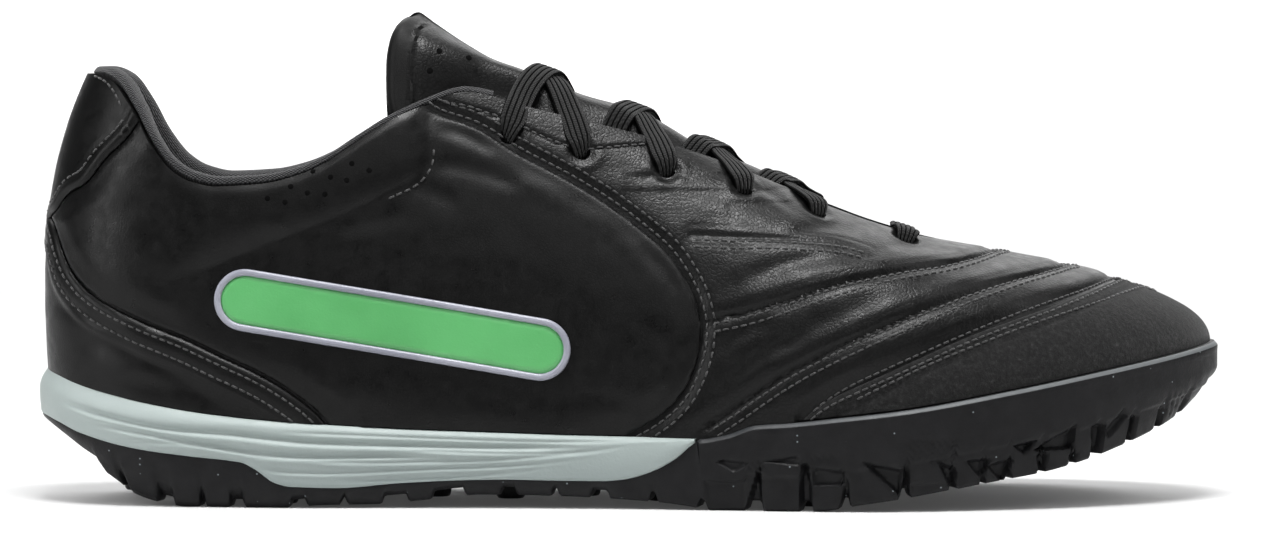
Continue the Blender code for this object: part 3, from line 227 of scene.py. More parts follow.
sway_at = spline(OUTLINE[:, 0], OUTLINE[:, 1] * BALL_WIDTH / 2)
half_at = spline(turn_of(OUTLINE[:, 0]), OUTLINE[:, 2])
ridge_at = spline(*RIDGE.T)
section_at = {name: spline(turn_of(SECTIONS[:, 0]), SECTIONS[:, i + 1]) for i, name in enumerate(SECTION_NAMES)}
topline_at, bite_at, tread_at, footbed_at = (monotone(*rows.T) for rows in (TOPLINE, BITE, TREAD, FOOTBED))

outline_turns = np.linspace(0, 1, 721)
outer_reach, inner_reach = (
    (half_at(outline_turns) + side * sway_at(along_of(outline_turns))).max() for side in SIDES
)
MIDDLE_Y = (inner_reach - outer_reach) / 2


def to_row(x, y, z):
    """Points in the part's frame, from distances ahead of the heel, to the inner side and up."""
    x, y, z = np.broadcast_arrays(x, y, z)
    return np.stack([x - LENGTH / 2, y - MIDDLE_Y, z], axis=-1).astype(float)


def unit(vectors):
    return vectors / np.maximum(np.linalg.norm(vectors, axis=-1, keepdims=True), 1e-12)


def run_of(points):
    """Distance run at each point of a line."""
    return np.concatenate([[0], np.cumsum(np.linalg.norm(np.diff(points, axis=0), axis=1))])


def plan(side, turn, grow=0.0):
    """x and y of the sole's outline, moved out by grow."""
    turn = np.asarray(turn, float)

    def edge(t):
        along = along_of(t)
        return LENGTH * along, sway_at(along) + side * half_at(t)

    x, y = edge(turn)
    x1, y1 = edge(np.clip(turn + TINY, 0, 1))
    x0, y0 = edge(np.clip(turn - TINY, 0, 1))
    dx, dy = np.where((turn <= 0) | (turn >= 1), 0, x1 - x0), y1 - y0
    size = np.hypot(dx, dy)
    return x - side * dy / size * grow, y + side * dx / size * grow


def spine(turn):
    """x and y of the spine point that the section at turn leans to."""
    x = SPINE_HEEL + (SPINE_TOE - SPINE_HEEL) * along_of(turn)
    return x, sway_at(x / LENGTH)


def wall(side, turn, share):
    """Points of the last: x, y and z before the move to the part's frame."""
    turn, share = np.asarray(turn, float), np.asarray(share, float)
    foot_x, foot_y = plan(side, turn, -UPPER_INSET)
    spine_x, spine_y = spine(turn)
    bottom = bite_at(along_of(turn)) - RIM_DEPTH + CLEARANCE
    top = ridge_at(spine_x / LENGTH)
    slope = (ridge_at(spine_x / LENGTH + TINY) - ridge_at(spine_x / LENGTH - TINY)) / (2 * TINY * LENGTH)
    shape = {name: section_at[name](turn) for name in section_at}
    lean = shape["lean"] * slope * shape["top_reach"] * (foot_x - spine_x)
    low = bottom + shape["low_rise"] * (top - bottom)
    high = bottom + shape["top_rise"] * (top - bottom) + lean
    weights = ((1 - share) ** 3, 3 * share * (1 - share) ** 2, 3 * share**2 * (1 - share), share**3)
    reach = sum(w * r for w, r in zip(weights, (1, shape["low_reach"], shape["top_reach"], 0)))
    z = sum(w * h for w, h in zip(weights, (bottom, low, high, top)))
    x = spine_x + (foot_x - spine_x) * reach
    y = spine_y + (foot_y - spine_y) * reach
    return np.stack(np.broadcast_arrays(x, y, z), axis=-1)


def outward(side, turn, share):
    """Unit normals of the last. At the spine's two ends the section next to it is used."""
    turn, share = np.broadcast_arrays(np.asarray(turn, float), np.asarray(share, float))
    turn = np.where(share > 0.98, np.clip(turn, 0.004, 0.996), turn)
    ahead = wall(side, np.clip(turn + TINY, 0, 1), share) - wall(side, np.clip(turn - TINY, 0, 1), share)
    up = wall(side, turn, np.clip(share + TINY, 0, 1)) - wall(side, turn, np.clip(share - TINY, 0, 1))
    return unit(side * np.cross(up, ahead))


def skin(side, turn, share, depth=0.0):
    """Points at a depth below the last, in the part's frame. Both sides meet on the centre plane."""
    turn, share = np.broadcast_arrays(np.asarray(turn, float), np.asarray(share, float))
    point, normal = wall(side, turn, share), outward(side, turn, share)
    shared = (turn <= 0) | (turn >= 1) | (share >= 1)
    if shared.any():
        normal = np.where(shared[..., None], unit(normal + outward(-side, turn, share)), normal)
    moved = point - normal * np.asarray(depth, float)[..., None]
    return to_row(moved[..., 0], moved[..., 1], moved[..., 2])


def surface(side, turn, share):
    """Points on the last and unit normals there, in the part's frame."""
    point = skin(side, turn, share)
    return point, unit(skin(side, turn, share, -0.001) - point)


def crossing(side, turn, distance):
    """The share at which distance(points) first stops being negative up each section, or 2."""
    turn = np.atleast_1d(np.asarray(turn, float))
    shares = np.linspace(0, 1, SECTION_SAMPLES)
    gap = distance(wall(side, turn[:, None], shares[None, :]))
    reached = gap >= 0
    first = np.maximum(reached.argmax(axis=1), 1)
    rows = np.arange(len(turn))
    before, after = gap[rows, first - 1], gap[rows, first]
    found = shares[first - 1] + (shares[1] - shares[0]) * np.clip(before / (before - after), 0, 1)
    return np.where(reached.any(axis=1), found, 2.0)


def throat_half(x):
    """Half the width of the throat at a distance ahead of the heel, and less than nothing beyond its ends."""
    start = TOPLINE[-3, 0] * LENGTH
    down = np.clip((x - start) / (THROAT_END - start), 0, 1)
    straight = THROAT_TOP_HALF + (THROAT_BASE_HALF - THROAT_TOP_HALF) * down
    to_end = np.clip((THROAT_END - x) / THROAT_END_RADIUS, 0, 1)
    return np.where((x < THROAT_END) & (x > 0.6 * start), straight * np.sqrt(1 - (1 - to_end) ** 2), -1.0)


def edge_share(side, turn):
    """The share at which the upper's wall ends: at the collar, at the throat or, ahead of it, at the spine."""
    collar = crossing(side, turn, lambda p: p[..., 2] - topline_at(p[..., 0] / LENGTH) + COLLAR_ROLL)
    throat = crossing(
        side, turn, lambda p: throat_half(p[..., 0]) - np.abs(p[..., 1] - sway_at(p[..., 0] / LENGTH))
    )
    near = np.clip(THROAT_ROUNDING - np.abs(collar - throat), 0, None) / THROAT_ROUNDING
    return np.minimum(np.minimum(collar, throat) - near**2 * THROAT_ROUNDING / 4, 1.0)


def section_run(side, turn):
    """Shares up one section, and the distance run at each."""
    shares = np.linspace(0, 1, SECTION_SAMPLES)
    return shares, run_of(wall(side, np.full(SECTION_SAMPLES, turn), shares))


def shares_from(side, turns, start, distances):
    """Shares at distances up each section from start. distances has a row for each turn."""
    found = np.zeros(distances.shape)
    for i, turn in enumerate(turns):
        shares, run = section_run(side, turn)
        found[i] = np.interp(np.interp(start[i], shares, run) + distances[i], run, shares)
    return found


def place_at(x, y):
    """The side, turn and share of the last's upper face over a spot in plan."""
    side = -1 if y < float(sway_at(x / LENGTH)) else 1
    low, high = 0.0, 1.0
    for _ in range(40):
        turn = (low + high) / 2
        (edge_x, edge_y), (spine_x, spine_y) = plan(side, turn, -UPPER_INSET), spine(turn)
        behind = side * ((edge_x - spine_x) * (y - spine_y) - (edge_y - spine_y) * (x - spine_x)) > 0
        low, high = (low, turn) if behind else (turn, high)
    size = math.hypot(edge_x - spine_x, edge_y - spine_y)
    reach = math.hypot(x - spine_x, y - spine_y) / size
    shares = np.linspace(0, 1, SECTION_SAMPLES)
    points = wall(side, np.full(SECTION_SAMPLES, turn), shares)
    reaches = np.hypot(points[:, 0] - spine_x, points[:, 1] - spine_y) / size
    top = int(reaches.argmax())
    return side, turn, float(np.interp(-reach, -reaches[top:], shares[top:]))


def smooth_step(value, start, stop):
    share = np.clip((value - start) / (stop - start), 0, 1)
    return share * share * (3 - 2 * share)


def hump(value, middle, width):
    return np.exp(-(((value - middle) / width) ** 2))


# Lines and spots seen from the outer side
TAB_LINE = [(2.2, 69.4), (4.2, 70.4), (6.7, 73.7), (8.9, 76.1), (12.4, 77.9), (15.9, 81.8), (19.3, 85.8),
            (22.6, 88.8), (24.8, 91.5), (27, 95.5)]
TAB_TOP_STITCH = [(14.5, 104.2), (17.9, 102.9), (21.0, 99.0), (22.6, 95.6)]
COUNTER_LINE = [(2.6, 71.6), (4.5, 68.2), (8.5, 58.5), (14.4, 51.8), (21.5, 47.8), (29.3, 44.4), (38, 41.0),
                (46.6, 37.0), (54.5, 33.4), (61.5, 29.5), (67.0, 25.6), (71.4, 21.6), (74.5, 17.0)]
QUARTER_FRONT = [(93.0, 101.0), (95.7, 97.2), (107.0, 92.5), (117.0, 86.6), (127.0, 81.3), (137.0, 75.6),
                 (143.6, 71.2), (150.3, 66.0), (154.5, 62.3), (157.8, 58.0), (160.3, 53.8), (162.2, 49.1),
                 (163.0, 44.9), (162.9, 40.6), (162.2, 36.8), (160.9, 33.0), (159.2, 29.5), (157.0, 26.4),
                 (154.0, 23.6), (151.0, 21.4), (147.3, 19.3), (142.0, 16.0)]
TOE_CAP_LINE = [(184.0, 17.0), (188.0, 22.6), (200.0, 30.0), (212.8, 35.7), (227.7, 41.9), (238.0, 45.3),
                (247.5, 48.2), (256.0, 50.8), (263.0, 52.8), (269.0, 54.4)]
SEAM_1 = [(160.7, 66.0), (173.6, 65.5), (184.3, 65.0), (189.7, 64.5), (198.2, 63.4), (203.4, 61.7)]
SEAM_2 = [(164.4, 45.6), (173.6, 47.6), (184.3, 50.8), (195.7, 54.3), (203.4, 56.0), (212.0, 57.3),
          (220.5, 58.2), (228.5, 59.4), (236.6, 61.0)]
SEAM_3 = [(163.9, 19.6), (171.9, 25.0), (180.5, 31.0), (191.0, 37.0), (201.4, 41.9), (214.8, 47.4),
          (228.9, 52.1), (243.3, 55.3), (255.4, 57.2)]
SEAM_4 = [(189.2, 22.6), (195.7, 27.8), (205.3, 32.8), (214.8, 37.0), (222.7, 40.3), (231.9, 43.9),
          (241.1, 47.1), (250.2, 49.9), (259.4, 52.4), (266.4, 54.4)]
NUBUCK_STITCH = [(199.0, 26.5), (209.1, 31.4), (217.8, 35.4), (226.9, 38.9), (236.0, 42.1), (245.0, 44.9),
                 (254.0, 47.4), (262.0, 49.5), (270.0, 51.2), (277.3, 52.4)]
EYESTAY_STITCH = [(99.2, 98.4), (107.0, 96.6), (115.6, 93.6), (123.8, 89.9), (131.7, 87.1), (138.9, 86.8),
                  (147.6, 87.4), (152.0, 87.4)]
CUSHION_LOW = [(44.0, 58.6), (52.3, 61.8), (57.8, 64.2), (66.5, 67.2), (74.9, 70.4), (83.1, 74.2),
               (88.0, 76.6), (93.0, 79.0), (96.2, 83.0), (96.5, 88.0)]
PINHOLES = [(58.0, 74.6), (62.2, 73.7), (63.5, 77.4), (67.5, 75.9), (68.8, 81.1), (71.7, 75.6), (73.0, 79.6),
            (76.9, 78.9), (78.1, 82.8), (82.3, 81.2)]
TONGUE_PINHOLES = [(99.0, 110.6), (106.4, 109.4), (97.0, 106.5)]
PILL = ((52.6, 50.45), (124.1, 38.5))

# Grid of the outer side, in which places seen from the side are found
GRID_TURNS, GRID_SHARES = 520, 260
side_turns, side_shares = np.linspace(0, 1, GRID_TURNS), np.linspace(0, 1, GRID_SHARES)
side_grid = wall(-1, side_turns[:, None], side_shares[None, :])
side_index = np.argwhere(-outward(-1, side_turns[:, None], side_shares[None, :])[..., 1] > 0.03)


def tree_of(points):
    tree = kdtree.KDTree(len(points))
    for i, point in enumerate(points):
        tree.insert(point, i)
    tree.balance()
    return tree


side_tree = tree_of([(side_grid[i, j, 0], 0.0, side_grid[i, j, 2]) for i, j in side_index])


def places_of(spots):
    """Turns and shares of places in mm seen from the outer side."""
    spots = np.asarray(spots, float) / MM
    found = side_index[[side_tree.find((x, 0.0, z))[1] for x, z in spots]]
    turn, share = side_turns[found[:, 0]], side_shares[found[:, 1]]
    step, damping, longest = 5e-4, 2e-6, 0.02

    def seen(turn, share):
        return wall(-1, turn, share)[:, (0, 2)]

    def ends(value):
        return np.clip(value + step, 0, 1), np.clip(value - step, 0, 1)

    for _ in range(6):
        (ahead, behind), (over, under) = ends(turn), ends(share)
        by_turn = (seen(ahead, share) - seen(behind, share)) / (ahead - behind)[:, None]
        by_share = (seen(turn, over) - seen(turn, under)) / (over - under)[:, None]
        slopes = np.stack([by_turn, by_share], axis=-1)
        square = np.einsum("nki,nkj->nij", slopes, slopes) + np.eye(2) * damping
        away = np.einsum("nki,nk->ni", slopes, spots - seen(turn, share))
        go = np.clip(np.linalg.solve(square, away[..., None])[..., 0], -longest, longest)
        turn, share = np.clip(turn + go[:, 0], 0, 1), np.clip(share + go[:, 1], 0, 1)
    return turn, share


def curve_through(spots, step=0.5):
    """Points about step mm apart on a smooth curve through the spots."""
    spots = np.array(spots, float)
    run = run_of(spots)
    at = np.linspace(0, run[-1], max(8, int(run[-1] / step)))
    return np.stack([spline(run, spots[:, k])(at) for k in (0, 1)], axis=1)


def running_mean(values, reach):
    padded = np.concatenate([np.full(reach, values[0]), values, np.full(reach, values[-1])])
    return np.convolve(padded, np.ones(2 * reach + 1) / (2 * reach + 1), "valid")


def centre_place(x):
    """Turn and share of the place on the middle of the shoe's top, at a distance ahead of the heel."""
    if x < SPINE_TOE:
        return float(turn_of((x - SPINE_HEEL) / (SPINE_TOE - SPINE_HEEL))), 1.0
    shares = np.linspace(1, 0, SECTION_SAMPLES)
    return 1.0, float(np.interp(x, wall(-1, np.ones(SECTION_SAMPLES), shares)[:, 0], shares))


def heel_place(height):
    """Turn and share of the place at a height on the middle of the heel."""
    shares = np.linspace(0, 0.5, SECTION_SAMPLES)
    return 0.0, float(np.interp(height, wall(-1, np.zeros(SECTION_SAMPLES), shares)[:, 2], shares))


def led_to(line, place):
    """A line of turns and shares with its end led on to a place on the middle of the shoe."""
    part = np.linspace(0, 1, 25)[1:]
    return [np.concatenate([values, values[-1] + part * (end - values[-1])]) for values, end in zip(line, place)]


class Seam:
    """A line on the last, the same on both sides. across points up from it where it runs towards the toe.

    over is where the line crosses the shoe's top, ahead of the heel, and back the height where it meets the
    middle of the heel."""

    def __init__(self, spots, over=None, back=None):
        line = places_of(curve_through(spots))
        if over is not None:
            line = led_to(line, centre_place(over / MM))
        if back is not None:
            line = [v[::-1] for v in led_to([v[::-1] for v in line], heel_place(back / MM))]
        turn, share = (running_mean(values, 3) for values in line)
        self.runs = []
        for side in SIDES:
            point, normal = surface(side, turn, share)
            ahead = unit(np.gradient(point, axis=0))
            self.runs.append((point, normal, ahead, -side * np.cross(normal, ahead)))
        self.point, _, _, self.across = (np.concatenate(part) for part in zip(*self.runs))
        self.tree = tree_of(self.point)

    def offset(self, points, reach=0.02):
        """Signed and plain distance of points from the line, no further than reach."""
        flat = points.reshape(-1, 3)
        signed, plain = np.full(len(flat), reach), np.full(len(flat), reach)
        low, high = self.point.min(0) - reach, self.point.max(0) + reach
        near = np.flatnonzero(((flat > low) & (flat < high)).all(axis=1))
        if len(near):
            index = np.array([self.tree.find(flat[i])[1] for i in near])
            away = flat[near] - self.point[index]
            signed[near] = (away * self.across[index]).sum(1)
            plain[near] = np.linalg.norm(away, axis=1)
        return signed.reshape(points.shape[:-1]), plain.reshape(points.shape[:-1])

    def signed(self, points):
        return self.offset(points, 0.3)[0]


def side_view(points):
    """Places in mm as seen from the side, of points in the part's frame."""
    return (points[..., 0] + LENGTH / 2) * MM, points[..., 2] * MM


def dents(points, rows):
    """Soft troughs. Each row has the two places it runs between, its width in mm and its depth in m."""
    x, z = side_view(points)
    made = np.zeros(x.shape)
    for (ax, az), (bx, bz), width, depth in rows:
        run = math.hypot(bx - ax, bz - az)
        ux, uz = (bx - ax) / run, (bz - az) / run
        along, off = (x - ax) * ux + (z - az) * uz, (z - az) * ux - (x - ax) * uz
        bend = 0.06 * run * np.sin(math.pi * np.clip(along / run, 0, 1))
        fade = smooth_step(along, -0.15 * run, 0.25 * run) * (1 - smooth_step(along, 0.75 * run, 1.15 * run))
        made -= depth * fade * hump(off, bend, width)
    return made


def turns_between(first, last, cell):
    """Turns from first to last, about a cell apart round the shoe."""
    fine = np.linspace(first, last, 500)
    steps = [np.linalg.norm(np.diff(wall(side, fine, share), axis=0), axis=1)
             for side in SIDES for share in (0.05, 0.5)]
    arc = np.concatenate([[0], np.cumsum(np.max(steps, axis=0))])
    return np.interp(np.linspace(0, arc[-1], max(4, round(arc[-1] / cell)) + 1), arc, fine)


def place_in_scene(name, mesh, finish):
    piece = bpy.data.objects.new(name, mesh)
    bpy.context.scene.collection.objects.link(piece)
    mesh.materials.append(finish)
    mesh.shade_smooth()
    return piece


def made_mesh(name, points, faces, finish, sharp=32, merge=4e-6):
    mesh = bpy.data.meshes.new(name)
    mesh.from_pydata([tuple(p) for p in points], [], faces)
    built = bmesh.new()
    built.from_mesh(mesh)
    if merge:
        bmesh.ops.remove_doubles(built, verts=built.verts, dist=merge)
    bmesh.ops.dissolve_degenerate(built, edges=built.edges, dist=2e-6)
    bmesh.ops.recalc_face_normals(built, faces=built.faces)
    built.to_mesh(mesh)
    built.free()
    piece = place_in_scene(name, mesh, finish)
    mesh.set_sharp_from_angle(angle=math.radians(sharp))
    return piece


def strip_faces(index, closed=True):
    """Quads between the rows of a table of point numbers, each row closed on itself or open."""
    here, there = index[:-1], index[1:]
    if not closed:
        return np.stack([here[:, :-1], there[:, :-1], there[:, 1:], here[:, 1:]], axis=-1).reshape(-1, 4).tolist()
    beside, across = np.roll(here, -1, axis=1), np.roll(there, -1, axis=1)
    return np.stack([here, beside, across, there], axis=-1).reshape(-1, 4).tolist()


def loft(name, loops, finish, cap=True, sharp=45):
    """A skin over rings of points, each closed on itself."""
    index = np.arange(loops.shape[0] * loops.shape[1]).reshape(loops.shape[:2])
    faces = [index[0].tolist(), index[-1][::-1].tolist()] if cap else []
    return made_mesh(name, loops.reshape(-1, 3), faces + strip_faces(index), finish, sharp)


def snapped(turn, share, level):
    """Turns and shares with the ones just outside an outline moved onto it, towards their highest neighbour."""
    best = np.full(level.shape, 2.0)
    new_turn, new_share = turn.copy(), share.copy()
    count, width = level.shape
    for a, b in ((a, b) for a in (-1, 0, 1) for b in (-1, 0, 1) if a or b):
        i0, i1, j0, j1 = max(0, -a), min(count, count - a), max(0, -b), min(width, width - b)
        here, there = (slice(i0, i1), slice(j0, j1)), (slice(i0 + a, i1 + a), slice(j0 + b, j1 + b))
        part = -level[here] / np.where(level[there] > level[here], level[there] - level[here], 1)
        ok = (level[here] <= 0) & (level[there] > 0) & (part < best[here])
        for new, old in ((new_turn, turn), (new_share, share)):
            new[here] = np.where(ok, old[here] + part * (old[there] - old[here]), new[here])
        best[here] = np.where(ok, part, best[here])
    return new_turn, new_share


def panel(name, turns, rows, sides, keep, height, back, finish, hem=2, sharp=38):
    """A layer on the last. rows(side) gives a row of shares for each turn. keep(side, points) is positive
    inside its outline, in metres. height(side, points, inside) is its face's height over the last, and
    back the height of its lower edge."""
    all_points, all_faces, base = [], [], 0
    corners = [(0, 0), (1, 0), (1, 1), (0, 1)]
    for side in sides:
        share = rows(side)
        turn = np.repeat(turns[:, None], share.shape[1], axis=1)
        level = keep(side, skin(side, turn, share))
        within = level > 0
        quads = within[:-1, :-1] | within[1:, :-1] | within[1:, 1:] | within[:-1, 1:]
        used = np.zeros_like(within)
        for a, b in corners:
            used[a : used.shape[0] - 1 + a, b : used.shape[1] - 1 + b] |= quads
        turn, share = snapped(turn, share, level)
        low, normal = surface(side, turn, share)
        top = low + normal * height(side, low, np.where(within, level, 0))[..., None]
        bottom = (low + normal * back).reshape(-1, 3)
        index = np.full(used.shape, -1)
        index[used] = np.arange(used.sum()) + base
        all_points.append(top[used])
        base += int(used.sum())
        joint = ((turn <= 0) | (turn >= 1) | (share >= 1 - 1e-9)).reshape(-1)
        number = np.arange(used.size).reshape(used.shape)
        quad = np.argwhere(quads)
        cells = np.stack([number[quad[:, 0] + a, quad[:, 1] + b] for a, b in corners], axis=1)
        flat_index, flat_top = index.reshape(-1), top.reshape(-1, 3)
        all_faces += flat_index[cells].tolist()
        seen = {}
        for cell in cells.tolist():
            for pair in zip(cell, cell[1:] + cell[:1]):
                key = (min(pair), max(pair))
                seen[key] = None if key in seen else pair
        edges = [pair for pair in seen.values() if pair and not (joint[pair[0]] and joint[pair[1]])]
        ring = {}
        for v in (v for pair in edges for v in pair):
            if v not in ring:
                ring[v] = [flat_index[v], *range(base, base + hem)]
                base += hem
                for k in range(1, hem + 1):
                    all_points.append((flat_top[v] + (bottom[v] - flat_top[v]) * k / hem)[None])
        for a, b in edges:
            all_faces += [[ring[b][k], ring[a][k], ring[a][k + 1], ring[b][k + 1]] for k in range(hem)]
    return made_mesh(name, np.concatenate(all_points), all_faces, finish, sharp)


def wall_shares(side, turns, rows):
    return edge_share(side, turns)[:, None] * np.linspace(0, 1, rows)


def above_rim(side, turns, rows, over=0.0004):
    """Shares from just over the sole's rim to the wall's edge."""
    low = crossing(side, turns, lambda p: p[..., 2] - bite_at(p[..., 0] / LENGTH) - over)[:, None]
    return low + (edge_share(side, turns)[:, None] - low) * np.linspace(0, 1, rows)


def ride(piece, slot, *nodes):
    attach(piece, "root")
    if nodes:
        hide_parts(*nodes)
    return piece


# Materials. Tones are linear; grains are cells in a metre and depths are in metres.
class Look:
    """A node material with short names for what the pieces need."""

    def __init__(self, name, roughness, **sockets):
        self.made = bpy.data.materials.new(name)
        self.made.use_nodes = True
        self.tree = self.made.node_tree
        self.surface = self.tree.nodes["Principled BSDF"]
        self.surface.inputs["Roughness"].default_value = roughness
        for key, value in sockets.items():
            self.surface.inputs[key.replace("_", " ")].default_value = value
        self.where = self.tree.nodes.new("ShaderNodeTexCoord").outputs["Object"]
        self.last_bump = None

    def node(self, kind, inputs=(), **settings):
        made = self.tree.nodes.new(kind)
        for key, value in settings.items():
            setattr(made, key, value)
        for key, value in dict(inputs).items():
            if isinstance(value, bpy.types.NodeSocket):
                self.tree.links.new(value, made.inputs[key])
            else:
                made.inputs[key].default_value = value
        return made

    def noise(self, scale, detail=4.0, rough=0.55, stretch=None):
        where = self.where
        if stretch:
            where = self.node("ShaderNodeMapping", {"Vector": where, "Scale": stretch}).outputs[0]
        inputs = {"Vector": where, "Scale": scale, "Detail": detail, "Roughness": rough}
        return self.node("ShaderNodeTexNoise", inputs).outputs["Fac"]

    def warped(self, scale, amount):
        """The place, pushed about by noise."""
        noise = self.node("ShaderNodeTexNoise", {"Vector": self.where, "Scale": scale, "Detail": 2.0})
        part = self.node("ShaderNodeVectorMath", {0: noise.outputs["Color"], 1: (amount,) * 3},
                         operation="MULTIPLY")
        return self.node("ShaderNodeVectorMath", {0: self.where, 1: part.outputs[0]}).outputs[0]

    def cells(self, scale, feature="F1", output="Distance", warp=0.0):
        where = self.warped(scale * 0.6, warp) if warp else self.where
        made = self.node("ShaderNodeTexVoronoi", {"Vector": where, "Scale": scale}, feature=feature)
        return made.outputs[output]

    def axis(self, letter, where=None):
        return self.node("ShaderNodeSeparateXYZ", {0: where or self.where}).outputs[letter]

    def math(self, operation, a, b=0.0, c=0.0):
        return self.node("ShaderNodeMath", {0: a, 1: b, 2: c}, operation=operation).outputs[0]

    def wave(self, value, pitch):
        return self.math("SINE", self.math("MULTIPLY", value, 2 * math.pi / pitch))

    def between(self, value, low, high, out_low=0.0, out_high=1.0):
        return self.node("ShaderNodeMapRange", {0: value, 1: low, 2: high, 3: out_low, 4: out_high}).outputs[0]

    def patches(self, scale, low, high):
        """Soft patches between two values."""
        return self.between(self.noise(scale, 3), 0.3, 0.7, low, high)

    def ramp(self, value, *stops):
        made = self.node("ShaderNodeValToRGB", {"Fac": value})
        elements = made.color_ramp.elements
        while len(elements) < len(stops):
            elements.new(0.5)
        for element, (spot, colour) in zip(elements, stops):
            element.position = spot
            element.color = (*colour, 1)
        return made.outputs["Color"]

    def mix(self, share, a, b):
        return self.node("ShaderNodeMix", {0: share, 6: a, 7: (*b, 1)}, data_type="RGBA").outputs[2]

    def bump(self, height, depth, strength=1.0):
        inputs = {"Height": height, "Distance": depth, "Strength": strength}
        if self.last_bump:
            inputs["Normal"] = self.last_bump
        self.last_bump = self.node("ShaderNodeBump", inputs).outputs[0]

    def finish(self, colour, roughness=None):
        for value, key in ((colour, "Base Color"), (roughness, "Roughness"), (self.last_bump, "Normal")):
            if value is not None:
                self.tree.links.new(value, self.surface.inputs[key])
        return self.made


def grey(value, tint=0.0):
    return (value, value, value * (1 + tint))


def leather(name, tone, rough, grain, depth):
    look = Look(name, rough, Specular_IOR_Level=0.18)
    pebble = look.between(look.cells(grain, "DISTANCE_TO_EDGE", "Distance", warp=0.0007), 0.0, 0.22)
    look.bump(look.noise(38, 3), 0.0004, 0.3)
    look.bump(look.noise(150, 4, stretch=(1.0, 1.0, 0.35)), 0.00008, 0.3)
    look.bump(pebble, depth)
    look.bump(look.noise(grain * 2.2, 3), depth * 0.3)
    colour = look.ramp(pebble, (0.0, grey(tone * 0.45)), (0.5, grey(tone * 0.95)), (1.0, grey(tone * 1.15)))
    colour = look.mix(look.between(look.noise(90, 3), 0.35, 0.75, 0.0, 0.45), colour, grey(tone * 1.6))
    return look.finish(colour, look.patches(300, rough - 0.06, rough + 0.10))


def nubuck(name):
    look = Look(name, 0.9, Sheen_Weight=0.12, Sheen_Roughness=0.5, Specular_IOR_Level=0.15)
    nap = look.noise(900, 6, 0.7)
    look.bump(look.noise(60, 3), 0.0006, 0.4)
    look.bump(nap, 0.00028)
    look.bump(look.noise(2600, 3, 0.7), 0.00012)
    return look.finish(look.ramp(nap, (0.32, grey(0.005)), (0.52, grey(0.011)), (0.66, grey(0.022)),
                                 (0.78, grey(0.075))))


def knit(name):
    look = Look(name, 0.95, Sheen_Weight=0.25, Sheen_Roughness=0.5, Specular_IOR_Level=0.2)
    where = look.warped(350.0, 0.0009)
    upward = look.math("ADD", look.axis("Z", where), look.axis("Y", where))
    loops = look.math("MULTIPLY", look.wave(look.axis("X", where), 0.0011), look.wave(upward, 0.0009))
    loops, fuzz = look.between(loops, -1.0, 1.0), look.noise(2200, 4, 0.7)
    look.bump(look.noise(70, 3), 0.0007, 0.5)
    look.bump(loops, 0.00035)
    look.bump(fuzz, 0.0002)
    both = look.math("MULTIPLY_ADD", fuzz, 0.5, look.math("MULTIPLY", loops, 0.5))
    return look.finish(
        look.ramp(both, (0.2, grey(0.007, 0.1)), (0.5, grey(0.022, 0.08)), (0.8, grey(0.052, 0.06))))


def woven(name, tone, pitch=0.0008):
    look = Look(name, 0.72, Sheen_Weight=0.12, Sheen_Roughness=0.4, Specular_IOR_Level=0.2)
    one, two = (look.wave(look.math(way, look.axis("X"), look.axis("Y")), pitch) for way in ("ADD", "SUBTRACT"))
    threads = look.between(look.math("MULTIPLY", one, two), -1.0, 1.0)
    look.bump(threads, 0.00018)
    look.bump(look.noise(3000, 3), 0.00008)
    return look.finish(look.ramp(threads, (0.0, grey(tone * 0.35)), (0.6, grey(tone)), (1.0, grey(tone * 2.1))))


def foam(name):
    look = Look(name, 0.5, Specular_IOR_Level=0.4)
    look.bump(look.noise(1500, 3), 0.00007)
    look.bump(look.noise(160, 3), 0.00012, 0.5)
    # Painted shade: the colour runs darker towards the foam's bottom and lighter towards its top.
    colour = look.ramp(look.between(look.axis("Z"), 0.004, 0.033), (0.0, (0.26, 0.305, 0.30)),
                       (0.45, (0.32, 0.37, 0.36)), (1.0, (0.40, 0.455, 0.445)))
    colour = look.mix(look.between(look.noise(25, 3), 0.35, 0.7, 0.0, 0.35), colour, (0.34, 0.39, 0.38))
    specks = look.between(look.cells(2200), 0.0, 0.12, 1.0, 0.0)
    colour = look.mix(look.math("MULTIPLY", specks, 0.12), colour, (0.16, 0.2, 0.19))
    return look.finish(colour, look.patches(200, 0.42, 0.58))


def rubber(name):
    look = Look(name, 0.45, Specular_IOR_Level=0.2)
    look.bump(look.noise(1400, 4), 0.00009)
    look.bump(look.noise(120, 3), 0.0003, 0.4)
    picked = look.math("GREATER_THAN", look.axis("X", look.cells(520, output="Color")), 0.86)
    speck = look.math("MULTIPLY", picked, look.between(look.cells(520), 0.06, 0.14, 1.0, 0.0))
    dull = look.ramp(look.noise(220, 4), (0.3, grey(0.0045, 0.12)), (0.7, grey(0.0085, 0.1)))
    colour = look.mix(look.math("MULTIPLY", speck, 0.75), dull, (0.30, 0.34, 0.36))
    return look.finish(colour, look.patches(260, 0.40, 0.58))


def thread(name, tone):
    look = Look(name, 0.55, Sheen_Weight=0.3)
    twist = look.noise(4000, 2, stretch=(1.0, 1.0, 2.0))
    look.bump(twist, 0.00008)
    return look.finish(look.ramp(twist, (0.35, grey(tone * 0.6)), (0.65, grey(tone * 1.5))))


def plastic(name, low, high, rough):
    look = Look(name, rough, Coat_Weight=0.25, Coat_Roughness=0.2)
    look.bump(look.noise(1800, 3), 0.00004)
    look.bump(look.noise(70, 3), 0.0003, 0.5)
    return look.finish(look.ramp(look.noise(45, 3), (0.3, low), (0.7, high)),
                       look.patches(400, rough - 0.05, rough + 0.08))


